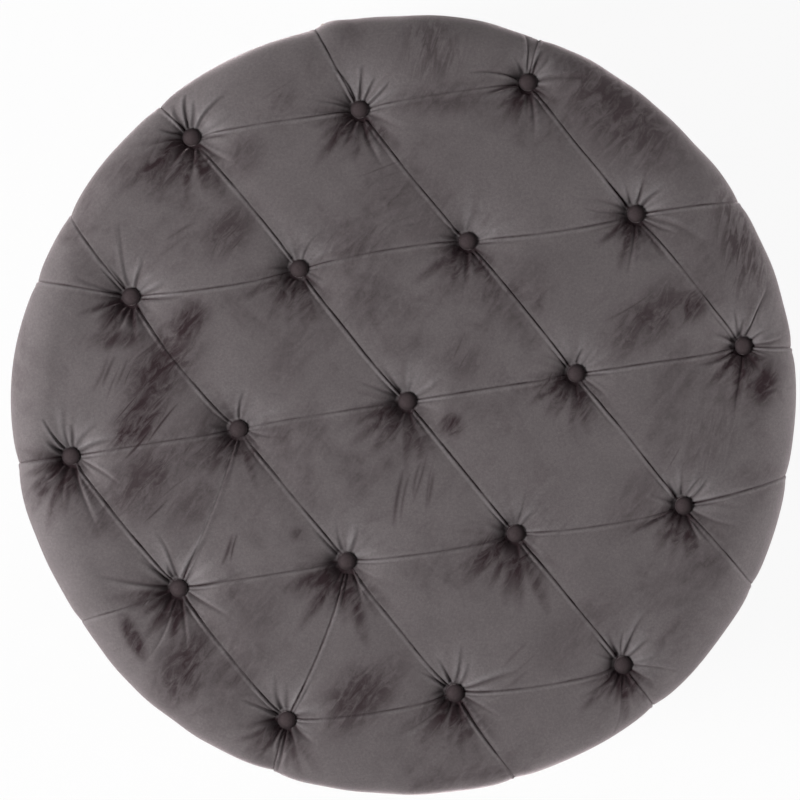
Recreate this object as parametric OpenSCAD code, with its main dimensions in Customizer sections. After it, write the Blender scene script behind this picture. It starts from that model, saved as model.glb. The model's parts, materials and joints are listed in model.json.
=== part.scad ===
// Round storage ottoman: an upholstered drum on four turned feet, with a deep-buttoned lid
// that is hinged at the back and held open by two slotted stays.
// The origin is on the floor under the middle of the drum, +Z is up and the hinge is at +Y.

/* [Overall] */
// Diameter of the lid at its widest line
lid_d = 860; // [830:5:960]
// Height from the floor to the crown of the lid
total_h = 450; // [430:5:500]
// Height of the lid, from the rim it rests on to its crown
lid_h = 130; // [118:1:145]
// How far the side of the drum stands in from the widest line of the lid
drum_inset = 15; // [10:1:22]
// Height from the floor to the underside of the drum
leg_h = 60; // [50:1:80]

/* [Lid pad] */
// Rise of the crown above the shoulder
crown_rise = 22; // [14:1:30]
// Radius of the shoulder
shoulder_r = 48; // [40:1:56]
// Radius of the edge that rests on the rim
lid_edge_r = 8; // [6:1:11]
// Thickness of the velvet with its backing
cover_t = 2; // [1.5:0.1:3]
// Thickness of the batting under the velvet
batting_t = 6; // [4:0.5:9]
// Thickness of the board in the lid
lid_board_t = 12; // [10:1:15]
// How far the edge of that board stands in from the side of the drum
lid_board_inset = 15; // [13:1:20]
// How far the velvet turns in under the lid
lid_wrap = 65; // [55:1:75]

/* [Tufting] */
// Distance from the outermost buttons to the widest line of the lid
tuft_margin = 54; // [48:1:86]
// Turn of the button pattern
tuft_turn = 9.3; // [0:0.1:59]
// How deep the buttons are drawn below the crown
tuft_depth = 24; // [16:1:30]
// Radius of the roll of padding round a button
tuft_roll_r = 30; // [26:1:34]
// Diameter of a covered button
button_d = 19; // [16:0.5:23]
// Height of a covered button
button_h = 7; // [5:0.5:9]
// Radius of the hole for the shank through cover and padding
shank_hole_r = 4; // [3.6:0.1:5]
// Radius of the wire of a shank
shank_wire_r = 0.6; // [0.5:0.05:0.7]
// Radius of the ring that the shank forms
shank_ring_r = 2.6; // [2.5:0.05:2.9]
// Radius of the tufting twine
twine_r = 0.8; // [0.6:0.05:0.8]
// Diameter of the washer that anchors the twine
washer_d = 18; // [14:1:20]
// Thickness of that washer
washer_t = 1.5; // [1:0.1:2]

/* [Drum] */
// Radius of the drum's upper edge
rim_edge_r = 8; // [5:1:12]
// Radius of the drum's lower edge
foot_edge_r = 6; // [4:1:9]
// Thickness of the foam on the drum's side
wall_foam_t = 8; // [5:1:11]
// Thickness of the bent boards on both sides of the frame
wall_board_t = 3; // [2.5:0.5:4]
// Width of the ring at the top of the frame
ring_w = 29; // [26:1:34]
// Thickness of that ring
ring_t = 18; // [16:1:22]
// Thickness of the board under the drum
floor_board_t = 15; // [12:1:18]
// How far the velvet turns in under the drum
under_wrap = 95; // [92:1:110]
// How far the velvet turns down inside the rim
inner_wrap = 28; // [22:1:40]
// Thickness of the lining
lining_t = 1; // [0.6:0.1:1.4]
// Thickness of the lined panel on the floor of the box
floor_panel_t = 3; // [2:0.5:5]
// Thickness of the dust cover underneath
dust_cover_t = 0.8; // [0.5:0.1:1.2]
// Number of posts in the frame
post_count = 8; // [6:1:8]
// Width of a post along the wall
post_w = 40; // [30:1:50]

/* [Feet] */
// Largest diameter of a foot
foot_d = 58; // [50:1:64]
// Distance from the side of the drum to the middle of each foot
foot_inset = 70; // [65:1:80]
// Diameter of a glide
glide_d = 26; // [20:1:30]
// Thickness of a glide
glide_t = 3; // [2:0.5:4]
// Thread diameter of the bolt in a foot
foot_bolt_d = 8; // [6:1:8]

/* [Hinges] */
// Distance of each hinge's middle from the middle line
hinge_x = 60; // [50:1:66]
// Length of a hinge
hinge_l = 70; // [60:1:76]
// Width of a leaf, from the pin to its edge
leaf_w = 40; // [38:0.5:43]
// Thickness of a leaf
leaf_t = 1.5; // [1.2:0.1:1.8]
// Radius of a knuckle
knuckle_r = 3.5; // [3.2:0.1:4]
// Radius of a hinge pin
hinge_pin_r = 1.75; // [1.5:0.05:1.9]
// Radius of a wood screw
screw_r = 1.75; // [1.5:0.05:2]
// Radius of a screw's head
screw_head_r = 3.5; // [3.2:0.1:4]

/* [Stays] */
// Distance of each stay from the middle line
stay_x = 122; // [112:1:126]
// Clearance between the tip of a hanging stay arm and the wall of the box
stay_wall_gap = 3; // [2:0.5:8]
// Angle at the hinge line between a stay's two pivots while the lid is shut
stay_fold = 8; // [8:0.5:10]
// Drop of the lid's pivot below the hinge line while the lid is shut
stay_drop = 10; // [10:0.5:12]
// Angle through which the lid opens
lid_opening = 92; // [85:1:95]
// Width of a stay arm
arm_w = 16; // [14:0.5:17]
// Thickness of a stay arm and of its brackets
arm_t = 2; // [1.6:0.1:2.4]
// Radius of the stud that runs in the slot
stud_r = 3; // [2.5:0.1:3.4]

/* [Hidden] */
seat_gap = 0.2;          // between nested layers of one body
run_gap = 0.3;           // between pieces that move on each other
bore_gap = 0.05;         // round a pin that turns
side_gap = 0.4;          // beside a swinging arm
rest_gap = 0.3;          // between the shut lid and the rim, taken up by the pile
arc_steps = 10;          // straight steps in one rounded stretch of padding
crown_fn = 360;          // the crown is a small part of a very large circle
$fn = 64;

// Levels and radii
lid_r = lid_d / 2;
drum_r = lid_r - drum_inset;
rim_z = total_h - lid_h;
lid_board_z = rim_z + cover_t;
pad_z = lid_board_z + lid_board_t;
drum_top_z = rim_z - rest_gap;
ring_top_z = drum_top_z - cover_t;
ring_z = ring_top_z - ring_t;
floor_board_z = leg_h + cover_t;
floor_z = floor_board_z + floor_board_t;
foam_out_r = drum_r - cover_t - seat_gap;
foam_in_r = foam_out_r - wall_foam_t;
outer_board_r = foam_in_r - seat_gap;
ring_out_r = outer_board_r - wall_board_t - seat_gap;
ring_in_r = ring_out_r - ring_w;
inner_board_r = ring_in_r - seat_gap;
lining_out_r = inner_board_r - wall_board_t - seat_gap;
box_r = lining_out_r - cover_t;
lid_board_r = drum_r - lid_board_inset;
foot_ring_r = drum_r - foot_inset;

// Section of the lid: edge, side, shoulder and crown arcs, each tangent to the next
shoulder_x = lid_r - shoulder_r;
crown_r = (shoulder_x * shoulder_x + crown_rise * crown_rise) / (2 * crown_rise);
crown_cz = total_h - crown_r;
widest_z = crown_cz + sqrt(pow(crown_r - shoulder_r, 2) - pow(shoulder_x, 2));
crown_a = atan2(widest_z - crown_cz, shoulder_x);
side_drop = widest_z - rim_z - lid_edge_r;
side_r = (pow(drum_inset, 2) + pow(side_drop, 2)) / (2 * drum_inset);
side_x = lid_r - side_r;
lid_edge_x = side_x + sqrt(pow(side_r - lid_edge_r, 2) - pow(side_drop, 2));
lid_edge_a = -atan2(side_drop, lid_edge_x - side_x);

// Tufting: two rings of buttons on a triangular grid round the middle one
tuft_pitch = (lid_r - tuft_margin) / 2;
tufts = [for (q = [-2:2]) for (s = [-2:2]) if (abs(q + s) <= 2)
    tuft_pitch * [q * cos(tuft_turn) + s * cos(tuft_turn + 60), q * sin(tuft_turn) + s * sin(tuft_turn + 60)]];
tuft_lift = 1;           // how far the roll's own top would stand above the crown
tuft_floor_r = button_d / 2 + 1;
tuft_roll_x = tuft_floor_r + sqrt(pow(tuft_roll_r, 2) - pow(tuft_roll_r - tuft_lift - tuft_depth, 2));
seam_turn = tuft_turn + 17;  // keeps the seams of round shapes clear of the hollows
twine_bend_r = shank_wire_r + twine_r + 0.1;
washer_pocket = washer_t + 2.5;
washer_z = lid_board_z + washer_pocket - washer_t;
knot_r = 4;
board_hole_r = 3.5;
clear_above = 60;        // how far a cutting shape runs past the surface it cuts

// Feet
foot_top_z = leg_h - dust_cover_t;
foot_count = 4;
tee_flange_r = 10;
tee_flange_t = 1.5;
tee_barrel_wall = 1.2;
foot_bolt_depth = 30;

// Hinges
hinge_y = drum_r + knuckle_r + run_gap;
knuckle_count = 5;
knuckle_l = hinge_l / knuckle_count;
leaf_screw_x = 24;       // from the middle of a leaf to its outer screws
leaf_screw_edge = 7;     // from the edge of a leaf to its outer screws
leaf_screw_step = 5;     // how far the middle screw stands nearer to the pin
leaf_screws = [for (s = [-1:1]) [s * leaf_screw_x,
    leaf_w - leaf_screw_edge - (s == 0 ? leaf_screw_step : 0)]];
ring_screw_l = 13;
board_screw_l = lid_board_t - 1.5;
pin_head_r = 2.6;
pin_head_t = 1.2;

// Stays, seen from the side. Both pivots of a stay are stay_reach from the hinge line, so its
// arm turns half as far as the lid. That reach is the least at which the arm's tip hangs clear
// of the wall of the box.
arm_tip = 4.5;           // metal past the end of the slot
slot_slack = 1.5;        // play of the stud in the slot while the lid is shut
slot_r = stud_r + run_gap;
stay_throw = 2 * sin((stay_fold + lid_opening) / 2);
stay_wall_y = sqrt(pow(box_r, 2) - pow(stay_x + arm_t / 2, 2));
stay_back = (hinge_y - stay_wall_y + stay_wall_gap + arm_w / 2 + stay_throw * stay_drop
    + (slot_r + arm_tip) / 6) / (1 - stay_throw * sin(stay_fold / 2));
stay_reach = norm([stay_back, stay_drop]);
lid_pivot_a = asin(stay_drop / stay_reach);
stud_a = lid_pivot_a + stay_fold;
lid_pivot = [hinge_y - stay_reach * cos(lid_pivot_a), rim_z - stay_drop];
stud = [hinge_y - stay_reach * cos(stud_a), rim_z - stay_reach * sin(stud_a)];
slot_from = 2 * stay_reach * sin(stay_fold / 2) - slot_slack;
slot_to = stay_throw * stay_reach;
arm_end = slot_to + slot_r + arm_tip;
arm_lean = lid_pivot_a + stay_fold / 2;
rivet_r = 2.5;
rivet_head_r = 5;
rivet_head_t = 1.6;
stud_head_r = 6;
bracket_boss_r = 9;
flange_l = 40;
flange_h = 20;
flange_drop = 24;        // from the rim down to the lower edge of a bracket's flange
flange_z = rim_z - flange_drop;
lid_plate_w = 18;
lid_plate_l = 48;
lid_plate_screw_y = 16;
plate_screw_l = 12;
lid_panel_drop = 1.5;
lid_panel_z = rim_z - lid_panel_drop;
lid_plate_z = lid_panel_z - arm_t;

SIDES = ["left", "right"];
CORNERS = ["front_left", "front_right", "back_right", "back_left"];

function sign_of(side) = side == "left" ? -1 : 1;
function arc(c, r, from, to, n = arc_steps) =
    [for (i = [0:n]) let (a = from + (to - from) * i / n) c + r * [cos(a), sin(a)]];

// Height of the crown at a distance r from the middle, and the lean of its surface there
function crown_z(r) = crown_cz + sqrt(crown_r * crown_r - r * r);
function crown_lean(r) = asin(r / crown_r);

// Where the line of a tuft meets the level z inside the lid
function tuft_at(p, z) =
    norm(p) < 0.001 ? p : p * (1 - (crown_z(norm(p)) - z) * tan(crown_lean(norm(p))) / norm(p));

// ---- Section outlines, as [radius, height] ----

// Side and shoulder of the lid, set in by i, from the angle a0 on the side, then out past the crown
function lid_side(i, a0) = concat(
    arc([side_x, widest_z], side_r - i, a0, 0, 4),
    arc([shoulder_x, widest_z], shoulder_r - i, 0, crown_a - 4),
    [[shoulder_x - shoulder_r / 2, total_h + clear_above], [0, total_h + clear_above]]);

// The whole lid without its crown, set in by i, with its lower edge
function lid_skin(i) = concat(
    [[0, rim_z + i]],
    arc([lid_edge_x, rim_z + lid_edge_r], lid_edge_r - i, -90, lid_edge_a, 5),
    lid_side(i, lid_edge_a));

// The flat slab of foam on the board, set in by i
function foam_slab(i) = concat(
    [[0, pad_z]],
    arc([side_x, widest_z], side_r - i, -asin((widest_z - pad_z) / (side_r - i)), 0, 3),
    arc([shoulder_x, widest_z], shoulder_r - i, 0, 90, 6),
    [[0, widest_z + shoulder_r - i]]);

// The drum's wall with its rounded edges, set in by i and reaching in to the radius r
function drum_wall(i, r) = concat(
    [[r, leg_h + i]],
    arc([drum_r - foot_edge_r, leg_h + foot_edge_r], foot_edge_r - i, -90, 0),
    arc([drum_r - rim_edge_r, drum_top_z - rim_edge_r], rim_edge_r - i, 0, 90),
    [[r, drum_top_z - i]]);

module revolve(points) { rotate_extrude() polygon(points); }

// A section of the lid under the round of the crown, both set in by i
module under_crown(i, points) {
    intersection() {
        translate([0, crown_cz])
            circle(crown_r - i, $fn = crown_fn);
        polygon(points);
    }
}

// Section of the hollow that a button draws into padding which lies i below the surface
module tuft_section(i) {
    difference() {
        translate([0, -tuft_depth - i])
            square([tuft_roll_x, tuft_depth + i + clear_above]);
        translate([tuft_roll_x, tuft_lift - tuft_roll_r])
            circle(tuft_roll_r - i);
    }
}

module tube(outer_r, inner_r, from_z, to_z) {
    translate([0, 0, from_z])
        linear_extrude(to_z - from_z)
            difference() {
                circle(outer_r);
                circle(inner_r);
            }
}

// Places its children at a point of the crown, upright on the surface
module on_crown(p) {
    translate([p.x, p.y, crown_z(norm(p))])
        rotate([0, crown_lean(norm(p)), atan2(p.y, p.x)])
            children();
}

module at_tufts(from_r = 0) {
    for (p = tufts)
        if (norm(p) >= from_r)
            on_crown(p)
                children();
}

// The same with the hole for the button's shank through a layer of thickness t
module hollow_section(i, t) {
    tuft_section(i);
    translate([0, -tuft_depth - i - 2 * t])
        square([shank_hole_r, 3 * t]);
}

// A layer of the lid of thickness t whose face lies i below the surface, over the inner
// section that is its child: it follows the hollows down to the buttons.
// The middle hollow is part of the section, and the others get a cup each.
module soft_layer(i, t) {
    difference() {
        union() {
            rotate([0, 0, seam_turn])
                rotate_extrude()
                    difference() {
                        under_crown(i, lid_skin(i));
                        difference() {
                            children();
                            translate([0, total_h])
                                tuft_section(i + t);
                        }
                        translate([0, total_h])
                            hollow_section(i, t);
                    }
            intersection() {
                rotate([0, 0, seam_turn])
                    rotate_extrude()
                        under_crown(i + t / 2, lid_skin(i + t / 2));
                at_tufts(1)
                    rotate_extrude()
                        tuft_section(i + t);
            }
        }
        at_tufts(1)
            rotate_extrude()
                hollow_section(i, t);
    }
}

// ---- Lid ----

module lid_cover() {
    color("#5d5658")
        difference() {
            soft_layer(0, cover_t) {
                under_crown(cover_t, lid_skin(cover_t));
                square([drum_r - lid_wrap, lid_board_z + 1]);
            }
            leaf_pockets(rim_z - 1, lid_board_z + 1);
        }
}

module lid_batting() {
    i = cover_t + seat_gap;
    color("white")
        soft_layer(i, batting_t) {
            polygon(foam_slab(i + batting_t));
            square([lid_board_r + seat_gap, pad_z + seat_gap]);
        }
}

// The foam has a straight well under each button, as wide as the batting is where it enters
module lid_foam() {
    i = cover_t + batting_t + 2 * seat_gap;
    color("khaki")
        difference() {
            difference() {
                revolve(foam_slab(i));
                at_tufts()
                    rotate([0, 0, seam_turn])
                        translate([0, 0, -tuft_depth - i])
                            cylinder(r = tuft_roll_x + seat_gap, h = tuft_depth + i + clear_above);
            }
            at_tufts()
                rotate([0, 0, seam_turn])
                    translate([0, 0, -lid_h])
                        cylinder(r = shank_hole_r, h = lid_h - tuft_depth);
        }
}

module lid_board() {
    color("burlywood")
        difference() {
            translate([0, 0, lid_board_z])
                cylinder(r = lid_board_r, h = lid_board_t);
            for (p = tufts) {
                c = tuft_at(p, washer_z);
                translate([c.x, c.y, lid_board_z - 1]) {
                    cylinder(r = board_hole_r, h = lid_board_t + 2);
                    cylinder(r = washer_d / 2 + 1, h = washer_pocket + 1);
                }
            }
            for (s = [-1, 1]) {
                leaf_screw_holes(s, lid_board_z - 1, board_screw_l + 1);
                plate_screw_holes(s);
            }
        }
}

module lid_lining() {
    wrap_edge = drum_r - lid_wrap - seat_gap;
    color("#2b2b2e")
        difference() {
            revolve([[0, lid_panel_z], [box_r - 2, lid_panel_z], [box_r - 2, rim_z],
                     [wrap_edge, rim_z], [wrap_edge, lid_board_z], [0, lid_board_z]]);
            for (s = [-1, 1])
                plate_screw_holes(s);
        }
}

// ---- Buttons and what ties them down ----

// A shell button with a domed face over a narrow rim
module button_shape() {
    rim = button_h * 0.35;
    dome_r = (pow(button_d / 2, 2) + pow(button_h - rim, 2)) / (2 * (button_h - rim));
    rotate_extrude()
        intersection() {
            square([button_d / 2, button_h]);
            translate([0, button_h - dome_r])
                circle(dome_r);
        }
}

module tuft_buttons() {
    color("#574f52")
        for (p = tufts)
            on_crown(p)
                translate([0, 0, -tuft_depth])
                    button_shape();
}

module button_shanks() {
    color("silver")
        for (p = tufts)
            on_crown(p)
                translate([0, 0, -tuft_depth])
                    rotate([-90, 0, 0])
                        rotate_extrude(angle = 180)
                            translate([shank_ring_r, 0])
                                circle(shank_wire_r);
}

module tufting_twines() {
    color("ivory")
        for (p = tufts) {
            lean = crown_lean(norm(p));
            bend = tuft_depth + shank_ring_r;
            drop = (crown_z(norm(p)) - washer_z) / cos(lean) - bend;
            on_crown(p)
                translate([0, 0, -bend]) {
                    rotate([90, 0, 90])
                        rotate_extrude(angle = 180)
                            translate([twine_bend_r, 0])
                                circle(twine_r);
                    for (s = [-1, 1])
                        translate([0, s * twine_bend_r, -drop - 1])
                            cylinder(r = twine_r, h = drop + 1);
                    translate([0, 0, -drop - 2])
                        cylinder(r = knot_r, h = 1.6);
                }
        }
}

module twine_washers() {
    color("silver")
        for (p = tufts) {
            c = tuft_at(p, washer_z);
            translate([c.x, c.y, 0])
                tube(washer_d / 2, board_hole_r, washer_z, washer_z + washer_t);
        }
}

// ---- Drum ----

module drum_cover() {
    color("#5d5658")
        difference() {
            revolve(drum_wall(0, box_r));
            revolve(drum_wall(cover_t, lining_out_r));
            translate([0, 0, -1])
                cylinder(r = lining_out_r + 1, h = rim_z - inner_wrap + 1);
            cylinder(r = drum_r - under_wrap, h = floor_board_z + 1);
            leaf_pockets(ring_top_z, rim_z + 1);
            for (s = [-1, 1])
                bracket_screw_holes(s);
            foot_holes(foot_bolt_d / 2 + seat_gap);
        }
    // the turn under the drum, from the lining's line in to its raw edge
    color("#5d5658")
        difference() {
            tube(lining_out_r + 1, drum_r - under_wrap, leg_h, floor_board_z);
            foot_holes(foot_bolt_d / 2 + seat_gap);
        }
}

module wall_foam() {
    color("khaki")
        revolve(concat(
            [[foam_in_r, floor_board_z + seat_gap]],
            arc([drum_r - foot_edge_r, leg_h + foot_edge_r], foot_edge_r - cover_t - seat_gap, -90, 0, 5),
            arc([drum_r - rim_edge_r, drum_top_z - rim_edge_r], rim_edge_r - cover_t - seat_gap, 0, 90, 5),
            [[foam_in_r, ring_top_z - seat_gap]]));
}

// A board bent round the frame, with its two ends almost meeting at the back
module bent_board(outer_r, from_z, to_z) {
    open_a = 0.3;
    rotate([0, 0, 90 + open_a / 2])
        rotate_extrude(angle = 360 - open_a)
            translate([outer_r - wall_board_t, from_z])
                square([wall_board_t, to_z - from_z]);
}

module outer_board() {
    color("tan")
        bent_board(outer_board_r, floor_board_z, ring_top_z);
}

module inner_board() {
    color("tan")
        difference() {
            bent_board(inner_board_r, floor_z, ring_top_z);
            for (s = [-1, 1])
                bracket_screw_holes(s);
        }
}

module top_ring() {
    color("burlywood")
        difference() {
            tube(ring_out_r, ring_in_r, ring_z, ring_top_z);
            for (s = [-1, 1]) {
                leaf_screw_holes(s, ring_top_z - ring_screw_l, ring_screw_l + 1);
                bracket_screw_holes(s);
            }
        }
}

module frame_post(i) {
    depth = ring_w - 2;
    color("wheat")
        rotate([0, 0, 360 * (i - 0.5) / post_count])
            translate([ring_in_r + 0.8, -post_w / 2, floor_z])
                cube([depth, post_w, ring_z - floor_z]);
}

module floor_board() {
    color("burlywood")
        difference() {
            translate([0, 0, floor_board_z])
                cylinder(r = ring_out_r, h = floor_board_t);
            foot_holes(foot_bolt_d / 2 + tee_barrel_wall + seat_gap);
            at_feet()
                translate([0, 0, floor_z - tee_flange_t - seat_gap])
                    cylinder(r = tee_flange_r + seat_gap, h = tee_flange_t + 1);
        }
}

module wall_lining() {
    color("#2b2b2e")
        tube(lining_out_r, lining_out_r - lining_t, floor_z, rim_z - inner_wrap - seat_gap);
}

module floor_panel() {
    color("#2b2b2e")
        translate([0, 0, floor_z])
            cylinder(r = lining_out_r - lining_t - seat_gap, h = floor_panel_t);
}

module dust_cover() {
    color("#1c1c1e")
        difference() {
            translate([0, 0, leg_h - dust_cover_t])
                cylinder(r = drum_r - foot_edge_r - 12, h = dust_cover_t);
            foot_holes(foot_bolt_d / 2 + seat_gap);
        }
}

// ---- Feet ----

module at_feet() {
    for (k = [0:foot_count - 1])
        rotate([0, 0, 225 + 360 * k / foot_count])
            translate([foot_ring_r, 0, 0])
                children();
}

module foot_holes(r) {
    at_feet()
        translate([0, 0, 1])
            cylinder(r = r, h = floor_z + 1);
}

// A turned bun foot: toe, bulb, neck and collar
module foot(k) {
    h = foot_top_z - glide_t;
    bulb_r = foot_d / 2;
    toe_r = bulb_r * 0.58;
    neck_r = bulb_r * 0.66;
    collar_r = bulb_r * 0.9;
    bulb_z = h * 0.5;
    bulb_curve = bulb_r * 0.62;
    color("#2a1c15")
        rotate([0, 0, 225 + 360 * k / foot_count])
            translate([foot_ring_r, 0, glide_t])
                difference() {
                    revolve(concat(
                        [[0, 0], [toe_r - 1.5, 0], [toe_r, 1.5], [toe_r, h * 0.08]],
                        arc([bulb_r - bulb_curve, bulb_z], bulb_curve, -58, 58, 12),
                        [[neck_r, h * 0.84], [neck_r, h * 0.88]],
                        arc([collar_r - h * 0.05, h * 0.93], h * 0.05, -60, 60, 6),
                        [[collar_r - h * 0.05, h], [0, h]]));
                    translate([0, 0, h - foot_bolt_depth])
                        cylinder(r = foot_bolt_d / 2 + bore_gap, h = foot_bolt_depth + 1);
                }
}

module glides() {
    color("dimgray")
        at_feet()
            cylinder(r1 = glide_d / 2 - 1, r2 = glide_d / 2, h = glide_t);
}

module foot_bolts() {
    color("silver")
        at_feet()
            translate([0, 0, foot_top_z - foot_bolt_depth + 1])
                cylinder(r = foot_bolt_d / 2, h = foot_bolt_depth - 1 + floor_z - 2 - foot_top_z);
}

module tee_nuts() {
    color("silver")
        at_feet()
            difference() {
                union() {
                    translate([0, 0, floor_z - floor_board_t * 0.8])
                        cylinder(r = foot_bolt_d / 2 + tee_barrel_wall, h = floor_board_t * 0.8 - seat_gap);
                    translate([0, 0, floor_z - tee_flange_t - seat_gap])
                        cylinder(r = tee_flange_r, h = tee_flange_t);
                }
                translate([0, 0, leg_h])
                    cylinder(r = foot_bolt_d / 2 + bore_gap, h = 2 * floor_board_t);
            }
}

// ---- Hinges ----

module leaf_screw_holes(side, z, h) {
    for (s = leaf_screws)
        translate([side * hinge_x + s[0], hinge_y - s[1], z])
            cylinder(r = screw_r + bore_gap, h = h);
}

// Openings in the velvet that let a leaf lie on the wood
module leaf_pockets(from_z, to_z) {
    for (s = [-1, 1])
        translate([s * hinge_x - hinge_l / 2 - run_gap, hinge_y - leaf_w - run_gap, from_z])
            cube([hinge_l + 2 * run_gap, leaf_w + run_gap, to_z - from_z]);
}

module knuckle_run(first, r, grow) {
    for (k = [first:2:knuckle_count - 1])
        translate([k * knuckle_l - hinge_l / 2 - grow, 0, 0])
            rotate([0, 90, 0])
                cylinder(r = r, h = knuckle_l + 2 * grow);
}

// One leaf: a plate with its knuckles, cut away round the other leaf's knuckles.
// up is 1 for the leaf on the lid and -1 for the one on the rim.
module hinge_leaf(side, up) {
    own = up < 0 ? 0 : 1;
    plate_z = up < 0 ? ring_top_z - rim_z : cover_t - leaf_t;
    translate([side * hinge_x, hinge_y, rim_z])
        difference() {
            union() {
                translate([-hinge_l / 2, -leaf_w, plate_z])
                    cube([hinge_l, leaf_w, leaf_t]);
                knuckle_run(own, knuckle_r, -run_gap / 2);
            }
            knuckle_run(1 - own, knuckle_r + run_gap, run_gap / 2);
            translate([-hinge_l, 0, 0])
                rotate([0, 90, 0])
                    cylinder(r = hinge_pin_r + bore_gap, h = 2 * hinge_l);
            for (s = leaf_screws)
                translate([s[0], -s[1], plate_z])
                    if (up < 0)
                        cylinder(r1 = screw_r + bore_gap, r2 = screw_head_r + bore_gap, h = leaf_t);
                    else
                        cylinder(r1 = screw_head_r + bore_gap, r2 = screw_r + bore_gap, h = leaf_t);
        }
}

module ring_leaf(side) { color("#b5a06a") hinge_leaf(side, -1); }
module lid_leaf(side) { color("#b5a06a") hinge_leaf(side, 1); }

module hinge_pin(side) {
    color("#8f8f8f")
        translate([side * hinge_x - hinge_l / 2, hinge_y, rim_z])
            rotate([0, 90, 0]) {
                cylinder(r = hinge_pin_r, h = hinge_l);
                translate([0, 0, -pin_head_t])
                    cylinder(r = pin_head_r, h = pin_head_t);
                translate([0, 0, hinge_l])
                    cylinder(r = pin_head_r, h = pin_head_t);
            }
}

// A countersunk screw with the face of its head at z = 0, pointing down
module wood_screw(l) {
    translate([0, 0, -leaf_t])
        cylinder(r1 = screw_r, r2 = screw_head_r, h = leaf_t);
    translate([0, 0, -leaf_t - l])
        cylinder(r = screw_r, h = l);
}

module ring_screws() {
    color("#b5a06a")
        for (side = [-1, 1])
            for (s = leaf_screws)
                translate([side * hinge_x + s[0], hinge_y - s[1], ring_top_z + leaf_t])
                    wood_screw(ring_screw_l - 1);
}

module lid_screws() {
    color("#b5a06a")
        for (side = [-1, 1])
            for (s = leaf_screws)
                translate([side * hinge_x + s[0], hinge_y - s[1], lid_board_z - leaf_t])
                    mirror([0, 0, 1])
                        wood_screw(board_screw_l - 1);
}

// ---- Stays ----

// Draws its 2D children, given as [y, z], as a plate of thickness t whose inner face is at x
module side_plate(side, x, t) {
    translate([side * x + (side < 0 ? -t : 0), 0, 0])
        rotate([90, 0, 90])
            linear_extrude(t)
                children();
}

// The same for a round pin
module side_pin(side, c, r, x, l) {
    translate([side * x + (side < 0 ? -l : 0), c[0], c[1]])
        rotate([0, 90, 0])
            cylinder(r = r, h = l);
}

module stay_arm(side) {
    color("#c9c9c9")
        translate([0, lid_pivot[0], lid_pivot[1]])
            rotate([arm_lean, 0, 0])
                difference() {
                    union() {
                        side_plate(side, stay_x - arm_t / 2, arm_t)
                            translate([-arm_w / 2, -arm_end + arm_w / 2])
                                square([arm_w, arm_end - arm_w / 2]);
                        for (z = [0, -arm_end + arm_w / 2])
                            side_pin(side, [0, z], arm_w / 2, stay_x - arm_t / 2, arm_t);
                    }
                    side_pin(side, [0, 0], rivet_r + bore_gap, stay_x - arm_t, 2 * arm_t);
                    side_plate(side, stay_x - arm_t, 2 * arm_t)
                        translate([-slot_r, -slot_to])
                            square([2 * slot_r, slot_to - slot_from]);
                    for (z = [-slot_from, -slot_to])
                        side_pin(side, [0, z], slot_r, stay_x - arm_t, 2 * arm_t);
                }
}

// Angle of the wall bracket's flange round the drum, and the chord it lies on
flange_a = atan2(sqrt(pow(box_r, 2) - pow(stay_x, 2)), stay_x) - asin(flange_l / 2 / box_r);
flange_d = sqrt(pow(box_r, 2) - pow(flange_l / 2, 2)) - seat_gap;
flange_screws = [-flange_l * 0.15, flange_l * 0.3];

module at_flange(side) {
    mirror([side < 0 ? 1 : 0, 0, 0])
        rotate([0, 0, flange_a])
            children();
}

module bracket_screw_holes(side) {
    at_flange(side)
        for (s = flange_screws)
            translate([flange_d - arm_t, s, flange_z + flange_h * 0.6])
                rotate([0, 90, 0])
                    cylinder(r = screw_r + bore_gap, h = plate_screw_l + arm_t + 1);
}

// Bent steel bracket: a flange on the wall of the box and an ear that carries the stud
module stay_bracket(side) {
    ear_x = stay_x + arm_t / 2 + side_gap;
    root = [sqrt(pow(box_r, 2) - pow(ear_x + arm_t, 2)), flange_z];
    along = root + [0, flange_h / 2] - stud;
    across = bracket_boss_r * [-along.y, along.x] / norm(along);
    color("#c9c9c9")
        difference() {
            union() {
                at_flange(side)
                    translate([flange_d - arm_t, -flange_l / 2, flange_z])
                        cube([arm_t, flange_l, flange_h]);
                intersection() {
                    side_plate(side, ear_x, arm_t)
                        polygon([stud - across, root, root + [9, 0], root + [9, flange_h],
                                 root + [0, flange_h], stud + across]);
                    cylinder(r = box_r - seat_gap, h = total_h);
                }
                side_pin(side, stud, bracket_boss_r, ear_x, arm_t);
            }
            side_pin(side, stud, stud_r * 0.7 + bore_gap, ear_x - 1, arm_t + 2);
            bracket_screw_holes(side);
        }
}

// Shouldered stud riveted into the ear, with a head that keeps the arm on
module stay_stud(side) {
    inner_x = stay_x - arm_t / 2 - side_gap;
    ear_x = stay_x + arm_t / 2 + side_gap;
    color("#9a9a9a") {
        side_pin(side, stud, stud_r, inner_x, ear_x - inner_x);
        side_pin(side, stud, stud_head_r, inner_x - rivet_head_t, rivet_head_t);
        side_pin(side, stud, stud_r * 0.7, ear_x - 0.5, arm_t + 1.3);
    }
}

module plate_screw_holes(side) {
    for (s = [-1, 1])
        translate([side * (stay_x - arm_t / 2 - side_gap - arm_t - lid_plate_w * 0.55),
                   lid_pivot[0] + s * lid_plate_screw_y, lid_plate_z - 1])
            cylinder(r = screw_r + bore_gap, h = plate_screw_l + 1);
}

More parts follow.
